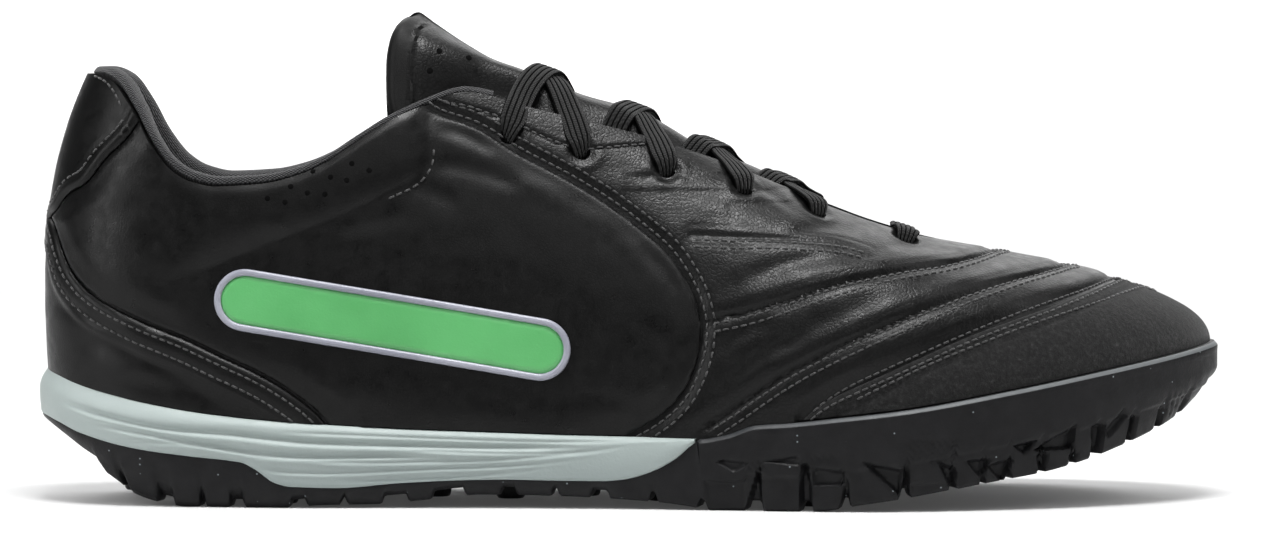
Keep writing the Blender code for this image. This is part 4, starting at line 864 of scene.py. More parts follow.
def painted_edge_highlight(name):
    """Painted highlight on the rubber's thin bevel: pale, dull at the waist and brighter towards the toe."""
    look = Look(name, 0.5)
    look.bump(look.noise(1500, 3), 0.00005)
    way = look.math("ADD", look.between(look.axis("X"), 0.02, 0.12), look.patches(300, -0.12, 0.12))
    return look.finish(look.ramp(way, (0.0, (0.012, 0.013, 0.015)), (0.35, (0.035, 0.04, 0.044)),
                                 (1.0, (0.10, 0.108, 0.112))))


# Painted shade: a near-black matte material, for the shade in the lace's grooves and inside the pinholes.
def painted_shade(name):
    look = Look(name, 0.9, Specular_IOR_Level=0.05)
    return look.finish(look.ramp(look.noise(800), (0.3, grey(0.0015)), (0.7, grey(0.003))))


SMOOTH = leather("smooth_leather", 0.0042, 0.33, 1300, 0.000013)
GRAINY = leather("pebbled_leather", 0.0048, 0.34, 950, 0.000030)
TONGUE_SKIN = leather("tongue_leather", 0.0052, 0.35, 950, 0.000030)
BINDING = leather("tongue_binding", 0.0045, 0.5, 2300, 0.000018)
NUBUCK, KNIT = nubuck("nubuck_toe"), knit("knit_lining")
LACE, TEXTILE = woven("lace_weave", 0.0115), woven("footbed_weave", 0.022, 0.0013)
LACE_GROOVE_SHADE, PINHOLE_SHADE = painted_shade("lace_groove_painted_shade"), painted_shade("pinhole_painted_shade")
FOAM, RUBBER, EDGE_HIGHLIGHT = foam("midsole_foam"), rubber("outsole_rubber"), painted_edge_highlight("outsole_edge_painted_highlight")
THREAD = thread("stitch_thread", 0.016)
GREEN = plastic("inlay_core", (0.075, 0.33, 0.10), (0.095, 0.39, 0.125), 0.42)
SILVER = plastic("inlay_rim", (0.21, 0.215, 0.265), (0.30, 0.305, 0.36), 0.36)

# Lines that the leather follows
tab_line, counter_line = Seam(TAB_LINE, back=69.0), Seam(COUNTER_LINE, back=74.0)
quarter_line, toe_line = Seam(QUARTER_FRONT), Seam(TOE_CAP_LINE, over=266.8)
seam_1, seam_2 = Seam(SEAM_1), Seam(SEAM_2, over=236.6)
seam_3, seam_4 = Seam(SEAM_3, over=255.0), Seam(SEAM_4, over=264.2)
nubuck_line = Seam(NUBUCK_STITCH, over=272.8)
eyestay_line, cushion_line = Seam(EYESTAY_STITCH), Seam(CUSHION_LOW)

# Troughs of worn leather: from, to, width in mm, depth in m
VAMP_CREASES = [
    ((166, 37.5), (180, 45.5), 2.2, 0.0006), ((168, 52), (196, 60.5), 2.6, 0.0004),
    ((176, 57.5), (205, 60), 1.8, 0.00035), ((182, 38.5), (206, 50.0), 2.4, 0.0005),
    ((170, 31), (188, 42), 2.0, 0.00045), ((196, 30.5), (222, 42.5), 2.0, 0.0003),
    ((163, 69.5), (184, 68), 2.2, 0.0002), ((168, 73.5), (183, 70), 1.6, 0.0002),
    ((185, 66.5), (203, 66.5), 1.5, 0.0005), ((148, 80), (158, 78), 1.3, 0.0004),
    ((150, 84.2), (160, 79.5), 1.2, 0.0004), ((176, 77.5), (186, 71.5), 1.2, 0.0004),
    ((206, 62.4), (224, 61.6), 1.4, 0.0004), ((212, 52), (238, 57.5), 2.2, 0.0003),
]
QUARTER_CREASES = [
    ((97, 83), (118, 78), 2.6, 0.00063), ((92, 78), (104, 73), 2.4, 0.00056),
    ((74, 66), (92, 71), 2.6, 0.00035), ((100, 92), (112, 86), 2.2, 0.00035),
    ((40, 80), (62, 84), 3.4, 0.00035), ((60, 86), (84, 92), 3.0, 0.00028),
    ((148, 63), (158, 52), 2.0, 0.00035), ((152, 45), (158, 33), 2.2, 0.00042),
    ((128, 72), (146, 60), 3.0, 0.00021), ((132, 27), (150, 24), 2.0, 0.00021),
    ((28, 64), (40, 70), 3.2, 0.00028),
]
COUNTER_CREASES = [
    ((14, 40), (44, 27), 2.4, 0.0006), ((8, 49), (26, 37), 2.2, 0.0005), ((20, 30), (50, 24), 2.6, 0.0004),
]


def eyelet_place(side, along):
    """Turn and share of an eyelet at a share of the length, below the throat's edge."""
    turns = np.linspace(turn_of(along - 0.08), turn_of(along + 0.12), 41)
    below = np.full((len(turns), 1), -EYELET_FROM_EDGE)
    shares = shares_from(side, turns, edge_share(side, turns), below)[:, 0]
    turn = np.interp(along * LENGTH, wall(side, turns, shares)[:, 0], turns)
    return float(turn), float(np.interp(turn, turns, shares))


EYELETS = {side: [eyelet_place(side, along) for along in EYELETS_ALONG] for side in SIDES}
eyelet_points = {side: skin(side, *np.array(EYELETS[side]).T) for side in SIDES}


def ditch(plain, depth, width):
    return -depth * hump(plain, 0, width)


def swell(plain, rise, reach, fade):
    """Leather that rises away from a seam and settles again."""
    return rise * (1 - hump(plain, 0, reach)) * np.exp(-plain / fade)


def crease_wave(points, seed, amount):
    """Soft broken waves in worn leather."""
    x, z = side_view(points)
    y = points[..., 1] * MM
    local = np.random.default_rng(seed)
    made = 0
    for _ in range(7):
        angle, length, phase = local.uniform(0.6, 2.2), local.uniform(7, 16), local.uniform(0, 6.28)
        way = x * math.cos(angle) + (z + 0.6 * y) * math.sin(angle)
        made = made + np.sin(2 * math.pi * way / length + phase)
    return amount * made / 7


def eyelet_distance(side, points):
    return np.min([np.linalg.norm(points - spot, axis=-1) for spot in eyelet_points[side]], axis=0)


def vamp_height(side, points, inside=None):
    """The vamp's ridges between its seams, its eyestay and its eyelets. Under the overlays it lies low."""
    up = np.zeros(points.shape[:-1])
    fades = 1 - smooth_step(side_view(points)[0], 186, 203)
    for line, depth, rise, fade in ((seam_1, 0.0004, 0.0005, fades), (seam_2, 0.0008, 0.0010, 1),
                                    (seam_3, 0.0008, 0.0010, 1), (seam_4, 0.0006, 0.0008, 1)):
        plain = line.offset(points)[1]
        up += (ditch(plain, depth, 0.00075) + swell(plain, rise, 0.0022, 0.012)) * fade
        up += ditch(plain - 0.0026, 0.00012, 0.0006)
    signed, plain = eyestay_line.offset(points)
    up += ditch(plain, 0.00025, 0.0005) + np.where(signed > 0, 0.0004, 0) * smooth_step(-plain, -0.012, -0.006)
    plain = quarter_line.offset(points)[1]
    up += ditch(plain, 0.0005, 0.002) + swell(plain, 0.0006, 0.003, 0.012)
    for spot in eyelet_points[side]:
        far = np.linalg.norm(points - spot, axis=-1)
        up += 0.00035 * hump(far, 0.0042, 0.0013) - 0.0007 * hump(far, 0, 0.0036)
    up += dents(points, VAMP_CREASES) + crease_wave(points, 3, 0.00012)
    cap = cap_keep(side, points)
    rear = np.max([keep(side, points) for keep in (quarter_keep, counter_keep, tab_keep)], axis=0)
    up *= smooth_step(-cap, 0.0, 0.0040) * smooth_step(-rear, -0.0005, 0.0040)
    return up - 0.0004 * smooth_step(np.maximum(cap, rear), 0.0004, 0.0020)


def rounded(inside, thick, reach=0.0011):
    """Height of a layer whose edge is rounded off."""
    t = np.clip(inside / reach, 0, 1)
    return thick * (0.45 + 0.55 * np.sqrt(1 - (1 - t) ** 2))


def pill_distance(points):
    """Distance outside the rounded inlay, as seen from the side, and less than nothing inside it."""
    x, z = side_view(points)
    (ax, az), (bx, bz) = PILL
    part = np.clip(((x - ax) * (bx - ax) + (z - az) * (bz - az)) / ((bx - ax) ** 2 + (bz - az) ** 2), 0, 1)
    away = np.hypot(x - ax - part * (bx - ax), z - az - part * (bz - az)) / MM - INLAY_HALF
    return np.where(points[..., 1] < 0, away, 0.1)


def quarter_keep(side, points):
    x, z = side_view(points)
    tab = np.where(x < 30, -tab_line.signed(points), 1)
    counter = np.where((x < 80) & (z < 76), counter_line.signed(points), 1)
    front = np.where((x > 80) & ~((x < 150) & (z < 15)), -quarter_line.signed(points), 1)
    return np.minimum(np.minimum(tab, counter) - 0.0003, front)


def quarter_height(side, points, inside):
    x, z = side_view(points)
    below_top = topline_at(x / MM / LENGTH) * MM - z
    padded = (1 - np.exp(-np.clip(cushion_line.signed(points), 0, None) / 0.0042)) * smooth_step(x, 22, 60)
    padded *= (1 - smooth_step(x, 96, 99)) * smooth_step(below_top, 0.5, 6)
    pill, inner = pill_distance(points), smooth_step(inside, 0.0, 0.004)
    up = rounded(inside, 0.0010) + 0.0017 * padded
    up += 0.0007 * smooth_step(inside, 0.001, 0.007) * smooth_step(pill, 0.002, 0.012)
    up += dents(points, QUARTER_CREASES) * inner
    return up + crease_wave(points, 11, 0.00010) * inner * smooth_step(pill, 0.0005, 0.008)


def counter_keep(side, points):
    return np.where(side_view(points)[0] > 80, -1.0, -counter_line.signed(points) - 0.0002)


def counter_height(side, points, inside):
    band = smooth_step(inside, 0.0, 0.0014) * (1 - smooth_step(inside, 0.0068, 0.0082))
    up = rounded(inside, 0.0010) + 0.0006 * band
    up += ditch(inside - 0.0021, 0.00022, 0.0005) + ditch(inside - 0.0053, 0.00022, 0.0005)
    return up + dents(points, COUNTER_CREASES) + crease_wave(points, 17, 0.0001)


def tab_keep(side, points):
    x, z = side_view(points)
    return np.where(x > 34, -1.0, np.where(z < 68.6, -0.001, tab_line.signed(points)))


def tab_height(side, points, inside):
    up = rounded(inside, 0.0012, 0.0016) + 0.0004 * hump(inside, 0.0014, 0.0012)
    return up + ditch(inside - 0.0036, 0.0002, 0.0006) + crease_wave(points, 23, 0.00008)


def cap_keep(side, points):
    return np.where(side_view(points)[0] < 186, -1.0, -toe_line.signed(points))


def cap_height(side, points, inside):
    up = rounded(inside, 0.0009, 0.0012) + ditch(inside - 0.0042, 0.0003, 0.0006)
    return up + crease_wave(points, 29, 0.00016)


def make_upper():
    bend = float(turn_of(0.30))
    turns = np.concatenate([turns_between(0.0, bend, COARSE)[:-1], turns_between(bend, 1.0, FINE)])
    rows = 118
    ride(panel("upper_skin", turns, lambda side: wall_shares(side, turns, rows), SIDES,
               lambda side, p: eyelet_distance(side, p) - EYELET_RADIUS, vamp_height, -WALL, GRAINY),
         "leather", "upper")
    wide = turns_between(0.0, 1.0, COARSE)
    ride(panel("upper_lining", wide, lambda side: wall_shares(side, wide, 26), SIDES,
               lambda side, p: np.ones(p.shape[:-1]), lambda side, p, inside: np.full(p.shape[:-1], -WALL),
               -WALL + 0.0003, KNIT, hem=1), "lining")


def make_overlays():
    count = 96
    for name, node, ends, cell, sides, keep, height, finish, slot in (
        ("quarter_outer_leather", "quarter_outer", (0.0, 0.64), 1.15, (-1,), quarter_keep, quarter_height,
         SMOOTH, "leather"),
        ("quarter_inner_leather", "quarter_inner", (0.0, 0.64), 1.15, (1,), quarter_keep, quarter_height,
         SMOOTH, "leather"),
        ("counter_leather", "counter", (0.0, 0.30), 1.15, SIDES, counter_keep, counter_height, SMOOTH, "leather"),
        ("heel_tab_leather", "heel_tab", (0.0, 0.14), 1, SIDES, tab_keep, tab_height, SMOOTH, "leather"),
        ("toe_cap_nubuck", "toe_cap", (0.60, 1.0), 1, SIDES, cap_keep, cap_height, NUBUCK, "nubuck"),
    ):
        turns = turns_between(*(float(turn_of(end)) for end in ends), FINE * cell)
        ride(panel(name, turns, lambda side: above_rim(side, turns, count), sides, keep, height, 0.0, finish),
             slot, node)


def make_inlay():
    """A raised bar with round ends: a coloured core in a smooth metallic-grey rim."""
    turns = turns_between(float(turn_of(0.12)), float(turn_of(0.48)), FINE * 0.8)
    rim_wide = 0.0017
    ride(panel("inlay_core", turns, lambda side: above_rim(side, turns, 120), (-1,),
               lambda side, p: -pill_distance(p) - rim_wide + 0.0002,
               lambda side, p, inside: 0.0015 + 0.0005 * smooth_step(inside, 0.0, 0.0009), 0.0011, GREEN),
         "inlay", "inlay_outer")
    (ax, az), (bx, bz) = PILL
    lean, half = math.atan2(bz - az, bx - ax), (INLAY_HALF - rim_wide / 2) * MM
    spots = [(x + half * math.cos(angle), z + half * math.sin(angle))
             for x, z, first in ((bx, bz, -math.pi / 2), (ax, az, math.pi / 2))
             for angle in lean + first + np.linspace(0, math.pi, 90)]
    spots = np.array(spots + spots[:1])
    run = run_of(spots)
    even = np.linspace(0, run[-1], (520) + 1)[:-1]
    place = places_of(np.stack([np.interp(even, run, spots[:, k]) for k in (0, 1)], axis=1))
    point = skin(-1, *place)
    normal = skin(-1, *place, -0.001) - point
    for _ in range(3):
        point = (np.roll(point, 1, 0) + point + np.roll(point, -1, 0)) / 3
        normal = (np.roll(normal, 2, 0) + normal + np.roll(normal, -2, 0)) / 3
    normal = unit(normal)
    across = unit(np.cross(normal, np.roll(point, -1, 0) - np.roll(point, 1, 0)))
    arch = [(-0.5 * math.cos(a), 0.0015 + 0.0010 * math.sin(a) ** 0.7) for a in np.linspace(0, math.pi, 15)]
    profile = [(-0.5, 0.0008), *arch, (0.5, 0.0008)]
    rings = np.stack([point + across * (w * rim_wide) + normal * h for w, h in profile], axis=1)
    ride(loft("inlay_rim", np.concatenate([rings, rings[:1]]), SILVER, cap=False), "inlay")


# Places on the free end of the tongue: distance from its middle and distance ahead of the heel
TONGUE_END = np.array([(0, 93.8), (3, 92.9), (7, 90.4), (11, 88.4), (15, 87.2), (20, 86.6), (28, 86.8),
                       (42, 88.0)])
TONGUE_CORNER = 0.011
collar_end_turn = float(turn_of(COLLAR_END))


def pad_depth(turn):
    """How deep the collar's padding reaches, thinner towards its front."""
    thinned = 1 - (1 - PAD_END) * smooth_step(along_of(turn), 0.15, 0.29)
    return WALL + CLEARANCE + (COLLAR_THICK - WALL - CLEARANCE) * thinned


def shares_off_spine(side, turn, away):
    return shares_from(side, turn, np.ones(len(turn)), -away[:, None])[:, 0]


def tongue_half(side, base, count, columns):
    """Outer and inner points of one half of the tongue, and which of them lie on its bound edge."""
    end_at = monotone(*(TONGUE_END / MM).T)
    tries, reach, first = np.linspace(0.18, 0.50, 90), np.linspace(0, 0.045, 40), []
    for a in reach:
        share = shares_off_spine(side, tries, np.full(len(tries), a))
        first.append(float(np.interp(end_at(a), skin(side, tries, share)[:, 0] + LENGTH / 2, tries)))
    way = np.linspace(0, 1, count) ** 1.3
    middle_turn = first[0] + (base - first[0]) * way
    spine_x = spine(middle_turn)[0]
    half = TONGUE_TOP_HALF + (TONGUE_BASE_HALF - TONGUE_TOP_HALF) * (spine_x - TONGUE_TOP) / (
        TONGUE_BASE - TONGUE_TOP)
    half = half + 0.0075 * (1 - smooth_step(spine_x, TONGUE_TOP + 0.004, TONGUE_TOP + 0.030))
    away = half[:, None] * (1 - columns)[None, :]
    start = np.interp(away, reach, first)
    turn = start + (base - start) * way[:, None]
    turn = middle_turn[:, None] + (turn - middle_turn[:, None]) * (1 - smooth_step(way, 0.25, 0.7))[:, None]

    # Depth: under the wall at its sides, and level with it along the throat
    in_collar = 1 - smooth_step(turn, collar_end_turn + 0.01, collar_end_turn + 0.05)
    flank = WALL + PAD_GAP + in_collar * (pad_depth(turn) * 1.2 - WALL)
    inner_end = smooth_step(spine_x, THROAT_END - 0.030, THROAT_END - 0.010)[:, None]
    centre = flank + (TONGUE_SINK - 0.0008 - flank) * (1 - inner_end)
    length = []
    for t, edge in zip(middle_turn, edge_share(side, middle_turn)):
        shares, run = section_run(side, t)
        length.append(run[-1] - np.interp(edge, shares, run))
    inside = np.minimum(np.array(length) - in_collar[:, -1] * COLLAR_ROLL - 0.0005, half - 0.003)
    inside = np.maximum(inside, 0.004)[:, None]
    depth = centre + (flank - centre) * smooth_step(away / inside, 0.25, 1.05)
    share = np.stack([shares_off_spine(side, turn[:, j], away[:, j]) for j in range(len(columns))], axis=1)

    # Thickness, rounded off at the rim, and the bound edge with its seam
    steps = np.linalg.norm(np.diff(skin(side, turn, share), axis=0), axis=-1)
    end = np.concatenate([np.zeros((1, len(columns))), np.cumsum(steps, axis=0)])
    body = 0.5 * (TONGUE_THICK + (TONGUE_TOP_THICK - TONGUE_THICK - 0.0008) * (1 - smooth_step(end, 0.0, 0.03)))
    side_gap = half[:, None] - away
    in_corner = (end < TONGUE_CORNER) & (side_gap < TONGUE_CORNER)
    round_corner = TONGUE_CORNER - np.hypot(TONGUE_CORNER - end, TONGUE_CORNER - side_gap)
    near = np.clip(np.where(in_corner, round_corner, np.minimum(end, side_gap)), 0, None)
    rim = np.sqrt(1 - (1 - np.clip(near / 0.0020, 0, 1)) ** 2)
    shoulder = 0.0011 * hump(away, 0.014, 0.0070) * (1 - smooth_step(end, 0.010, 0.055))
    band = 0.0036 + 0.0019 * smooth_step(away, 0.004, 0.018)
    relief = 0.00030 * (1 - smooth_step(near, band - 0.0002, band + 0.0003))
    relief += 0.00045 * hump(near, band + 0.0008, 0.0005) - 0.0003 * hump(near, band + 0.0018, 0.0006)
    relief *= (1 - smooth_step(end, 0.026, 0.040)) * (0.1 + 0.9 * smooth_step(away, 0.001, 0.008))
    plump = 0.0006 * np.sin(math.pi * np.clip((spine_x - 0.112) / 0.0148, 0, 7))[:, None]
    plump = plump * (1 - smooth_step(away / inside, 0.4, 1.0)) * smooth_step(end, 0.014, 0.03)
    middle = depth + body + 0.0013 * hump(away, 0, 0.0055) * (1 - smooth_step(end, 0.02, 0.06))
    outer = skin(side, turn, share, middle - body * rim - shoulder - relief * rim - plump)
    inner = skin(side, turn, share, middle + body * rim - shoulder)
    return outer, inner, (near < band) & (end < 0.05)


def make_tongue():
    base = centre_place(TONGUE_BASE)[0]
    count, wide = ((140, 66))
    columns = 1 - np.linspace(0, 1, wide)[::-1] ** 0.85
    halves = [tongue_half(side, base, count, columns) for side in SIDES]
    (outer, inner, _), (far_outer, far_inner, _) = halves
    ring = [outer, far_outer[:, -2::-1], far_inner, inner[:, -2::-1]]
    piece = loft("tongue_pad", np.concatenate(ring, axis=1), TONGUE_SKIN)
    piece.data.materials.append(BINDING)
    spots = np.concatenate([part.reshape(-1, 3) for half in halves for part in half[:2]])
    bound = np.concatenate([half[2].reshape(-1) for half in halves for _ in (0, 1)])
    tree = tree_of(spots)
    for face in piece.data.polygons:
        if face.center.x + LENGTH / 2 < 0.150 and bound[tree.find(face.center)[1]]:
            face.material_index = 1
    ride(piece, "leather", "tongue")


# Section of the collar's padding: run up from the wall's edge, and depth below the last
PAD_SECTION = np.array([
    (-COLLAR_DEPTH, WALL + PAD_GAP), (-0.45 * COLLAR_DEPTH, WALL + PAD_GAP),
    (-0.02 * COLLAR_DEPTH, WALL + PAD_GAP), (0.12 * COLLAR_ROLL, 0.45 * WALL), (0.34 * COLLAR_ROLL, 0.02 * WALL),
    (0.78 * COLLAR_ROLL, 0.20 * WALL), (1.02 * COLLAR_ROLL, 0.42 * COLLAR_THICK),
    (0.92 * COLLAR_ROLL, 0.75 * COLLAR_THICK), (0.30 * COLLAR_ROLL, COLLAR_THICK),
    (-0.35 * COLLAR_DEPTH, 1.15 * COLLAR_THICK), (-0.80 * COLLAR_DEPTH, 0.80 * COLLAR_THICK),
    (-COLLAR_DEPTH, WALL + PAD_GAP + 0.0012),
])


def make_collar():
    turns = turns_between(0.0, collar_end_turn, 0.0012)
    thinned = (pad_depth(turns) - WALL - CLEARANCE) / (COLLAR_THICK - WALL - CLEARANCE)
    steps = np.arange(len(PAD_SECTION), dtype=float)
    run, depth = (monotone(steps, values)(np.linspace(0, steps[-1], 50)) for values in PAD_SECTION.T)
    deep = np.maximum(depth - WALL - PAD_GAP, 0)[None, :]
    rings = []
    for side in SIDES:
        share = shares_from(side, turns, edge_share(side, turns), np.repeat(run[None, :], len(turns), axis=0))
        rings.append(skin(side, turns[:, None], share, depth[None, :] - deep + deep * thinned[:, None]))
    piece = loft("collar_lining", np.concatenate([rings[0][::-1], rings[1][1:]]), KNIT)
    ride(piece, "lining", "collar")


def ribbon(name, points, acrosses, widths, thick, ribs=5):
    """A flat ribbed lace along points, with painted shade on the grooves between its ribs."""
    ahead = unit(np.gradient(points, axis=0))
    acrosses = unit(acrosses - ahead * (acrosses * ahead).sum(1, keepdims=True))
    up = np.cross(ahead, acrosses)
    u = np.linspace(-1, 1, 31)
    bead = 0.32 * np.abs(np.sin(math.pi * (u + 1) / 2 * ribs)) ** 0.6
    high = np.sqrt(1 - np.abs(u) ** 5) * (0.68 + bead)
    profile = [*zip(u, high), *zip(u[-2:0:-1], -high[-2:0:-1])]
    rings = [points + acrosses * (a * widths / 2)[:, None] + up * (b * thick / 2)[:, None] for a, b in profile]
    piece = loft(name, np.stack(rings, axis=1), LACE, sharp=60)
    piece.data.materials.append(LACE_GROOVE_SHADE)
    # Faces in the grooves between the ribs get the painted shade.
    low = np.concatenate([bead, bead[-2:0:-1]]) < 0.02
    for face in piece.data.polygons:
        if len(face.vertices) == 4:
            face.material_index = int(sum(bool(low[v % len(low)]) for v in face.vertices) >= 2)
    return piece


def lace_path(start, stop, lift, into_stop, samples=34, count=64):
    """Points, across directions and thinning near its ends of a lace from an eyelet to another place. It goes
    down into the eyelet at its start, and at its stop too or else under the lace there."""
    ends = [wall(*place)[:2] for place in (start, stop)]
    track = []
    for w in np.linspace(0, 1, samples):
        point, normal = surface(*place_at(*((1 - w) * ends[0] + w * ends[1])))
        track.append((point.reshape(3), normal.reshape(3)))
    points, normals = (np.array(part) for part in zip(*track))
    run = run_of(points)
    height = np.full(samples, CLEARANCE + LACE_THICK / 2 + 0.0003) + lift * hump(run, 0.5 * run[-1], 0.0065)
    height -= 0.0010 * smooth_step(run, 0.006, 0.014) * (1 - smooth_step(run, run[-1] - 0.012, run[-1] - 0.006))
    height += 0.0006 * hump(run, 0.003, 0.0025)
    if not into_stop:
        height -= (WALL + 0.0018) * smooth_step(run, run[-1] - 0.009, run[-1] - 0.0015)
    points = points + normals * height[:, None]
    across = unit(np.cross(normals, np.array([*(ends[1] - ends[0]), 0.0])))
    drops = np.array([0.0035, 0.0018, 0.0002])[:, None]
    points = np.concatenate([skin(*start).reshape(3) - normals[0] * drops, points[1:]])
    across = np.concatenate([np.repeat(across[:1], 3, axis=0), across[1:]])
    if into_stop:
        points = np.concatenate([points[:-1], skin(*stop).reshape(3) - normals[-1] * drops[::-1]])
        across = np.concatenate([across[:-1], np.repeat(across[-1:], 3, axis=0)])
    run = run_of(points)
    even = np.linspace(0, run[-1], count)
    points, across = (np.stack([np.interp(even, run, v[:, k]) for k in range(3)], axis=1)
                      for v in (points, across))
    for k in range(3):
        points[1:-1, k] = running_mean(points[:, k], 1)[1:-1]
    near = smooth_step(even, 0.0020, 0.0085)
    if into_stop:
        near = np.minimum(near, smooth_step(even[-1] - even, 0.0020, 0.0085))
    return points, across, near


def make_laces():
    bar = lace_path((-1, *EYELETS[-1][-1]), (1, *EYELETS[1][-1]), 0.0, True)
    pieces = [("lace_row_bar", bar, ["lace_bar"])]
    for k in range(len(EYELETS_ALONG) - 2):
        for side, lift, label, nodes in ((-1, 0.0, "under", [f"lace_cross_{k + 1}"]), (1, 0.0014, "over", [])):
            turn, share = EYELETS[side][k + 1]
            far_turn, far_share = EYELETS[-side][k]
            if k > 0:
                far_turn += LACE_TUCK * (turn - far_turn)
                far_share = float(edge_share(-side, far_turn)[0]) - 0.012
            path = lace_path((side, turn, share), (-side, far_turn, far_share), lift, k == 0)
            pieces.append((f"lace_row_{k + 1}_{label}", path, nodes))
    for name, (points, across, near), nodes in pieces:
        widths, thick = LACE_WIDTH * (0.62 + 0.38 * near), LACE_THICK * (1.45 - 0.45 * near)
        ride(ribbon(name, points, across, widths, thick), "lace", *nodes)


# Stitches and small holes, laid on the finished leather
def tree_of_pieces(names):
    built = bmesh.new()
    for name in names:
        built.from_mesh(bpy.data.objects[name].data)
    tree = BVHTree.FromBMesh(built)
    built.free()
    return tree


def landed(tree, point, normal, lift, reach):
    """Where a place drops onto the finished leather, and the leather's normal there, or None."""
    hit, facing, _, _ = tree.ray_cast(Vector(point + normal * lift), Vector(-normal), reach)
    if hit is None:
        return None
    return np.array(hit), np.array(facing if facing.dot(Vector(normal)) > 0 else -facing)


def stitch_shape(length, thick):
    """A stitch along x, as points and faces: rings of six round it, sunk at its two ends."""
    rings = ((-0.5, 0.45, -1.1), (-0.36, 0.95, -0.15), (0.0, 1.0, 0.1), (0.36, 0.95, -0.15), (0.5, 0.45, -1.1))
    points = [(x * length, thick * scale * math.cos(math.pi * k / 3),
               thick * (scale * math.sin(math.pi * k / 3) + drop)) for x, scale, drop in rings for k in range(6)]
    index = np.arange(30).reshape(5, 6)
    return np.array(points), strip_faces(index) + [index[0][::-1].tolist(), index[-1].tolist()]


def stitch_rows(name, rows, tree, pitch=0.0021, length=0.00165, thick=0.00026):
    """Rows of stitches: each row is a seam with its distance to the side of it, and a range of its run."""
    shape, shape_faces = stitch_shape(length, thick)
    points, faces = [], []
    for seam, offset, first, last in rows:
        for line in seam.runs:
            run = run_of(line[0])
            spots = np.arange(first * run[-1] + pitch / 2, last * run[-1], pitch)
            at = [np.stack([np.interp(spots, run, v[:, k]) for k in range(3)], axis=1) for v in line]
            for point, normal, ahead, across in zip(*at):
                normal = unit(normal)
                found = landed(tree, point + across * offset, normal, 0.008, 0.016)
                if found:
                    hit, z = found
                    x = unit(ahead - z * (ahead @ z))
                    axes = np.stack([x, np.cross(z, x), z])
                    faces += [[v + len(points) * len(shape) for v in face] for face in shape_faces]
                    points.append(hit + z * thick * 0.45 + shape @ axes)
    ride(made_mesh(name, np.concatenate(points), faces, THREAD, sharp=60, merge=0), "leather")


def pinholes(name, spots, tree, radius, corners=10):
    """Small holes with a soft rim, each a disc of painted shade for the shade inside the hole."""
    points, faces = [], []
    angles = 2 * math.pi * np.arange(corners) / corners
    turn, share = places_of(spots)
    for side in SIDES:
        for point, normal in zip(*surface(side, turn, share)):
            found = landed(tree, point, normal, 0.012, 0.02)
            if found:
                hit, z = found
                x = unit(np.cross(z, (0, 0, 1.0)))
                rim = radius * (np.cos(angles)[:, None] * x + np.sin(angles)[:, None] * np.cross(z, x))
                faces += strip_faces(np.arange(3 * corners).reshape(3, corners) + 3 * corners * len(points))
                points.append(np.concatenate([hit + z * h + rim * r for r, h in
                                              ((1.0, 0.00002), (0.8, 0.00009), (0.0, 0.00006))]))
    ride(made_mesh(name, np.concatenate(points), faces, PINHOLE_SHADE, sharp=80, merge=0), "leather")


def make_stitches():
    tree = tree_of_pieces(["upper_skin", "quarter_outer_leather", "quarter_inner_leather", "counter_leather",
                           "heel_tab_leather", "toe_cap_nubuck"])
    rows = [(line, off, 0.01, 1.0) for line, off in (
        (seam_1, -0.0012), (seam_1, -0.0032), (seam_2, -0.0012), (seam_2, -0.0032), (seam_3, -0.0012),
        (seam_3, -0.0032), (seam_4, 0.0006), (toe_line, -0.0014), (nubuck_line, 0.0))]
    rows += [(quarter_line, 0.0016, 0.03, 0.97), (quarter_line, 0.0036, 0.03, 0.97),
             (eyestay_line, 0.0, 0.0, 1.0), (cushion_line, -0.0014, 0.72, 1.0),
             (counter_line, -0.0022, 0.10, 0.98), (counter_line, -0.0054, 0.12, 0.98),
             (tab_line, 0.0036, 0.0, 0.93), (Seam(TAB_TOP_STITCH), 0.0, 0.0, 1.0)]
    stitch_rows("stitches", rows, tree)
    pinholes("quarter_pinholes", PINHOLES, tree, 0.00068)
    pinholes("tongue_pinholes", TONGUE_PINHOLES, tree_of_pieces(["tongue_pad"]), 0.0008)


make_upper()
make_overlays()
make_inlay()
make_tongue()
make_collar()
make_laces()
make_stitches()


# Sole: the foam wedge with its flowing grooves, and the rubber with its lugs. Places are in mm.
GROOVE_1 = [(5.0, 25.6), (6.9, 25.0), (19.1, 21.8), (35.7, 19.0), (46.9, 18.2), (63.5, 16.5), (83.8, 15.6),
            (110, 15.0), (138.4, 15.0)]
GROOVE_2 = [(13.0, 20.8), (15.4, 20.3), (30.3, 17.6), (45.1, 15.1), (57.9, 13.2), (83.8, 12.8), (104, 12.6)]
MIDSOLE_LINES = [  # depth in m, width in mm, places
    (0.0010, 0.85, GROOVE_1),
    (0.00085, 0.80, GROOVE_2),
    (0.0004, 0.6, [(20.8, 16.6), (34, 15.6), (46.9, 14.9)]),
    (0.00035, 0.45, [(60, 18.6), (84, 17.6), (112, 16.6), (138, 16.4), (152, 16.9)]),
    (0.0004, 0.5, [(52, 9.8), (70, 8.6), (90, 9.4), (118, 10.6), (136, 12.4)]),
    (0.0004, 0.5, [(66, 11.4), (88, 11.2), (112, 12.0), (134, 13.6), (146, 15.2)]),
    (0.00035, 0.5, [(74, 6.4), (92, 7.2), (114, 8.6), (130, 10.6)]),
    (0.00035, 0.45, [(88, 14.3), (112, 13.5), (136, 14.2), (148, 16.0)]),
]
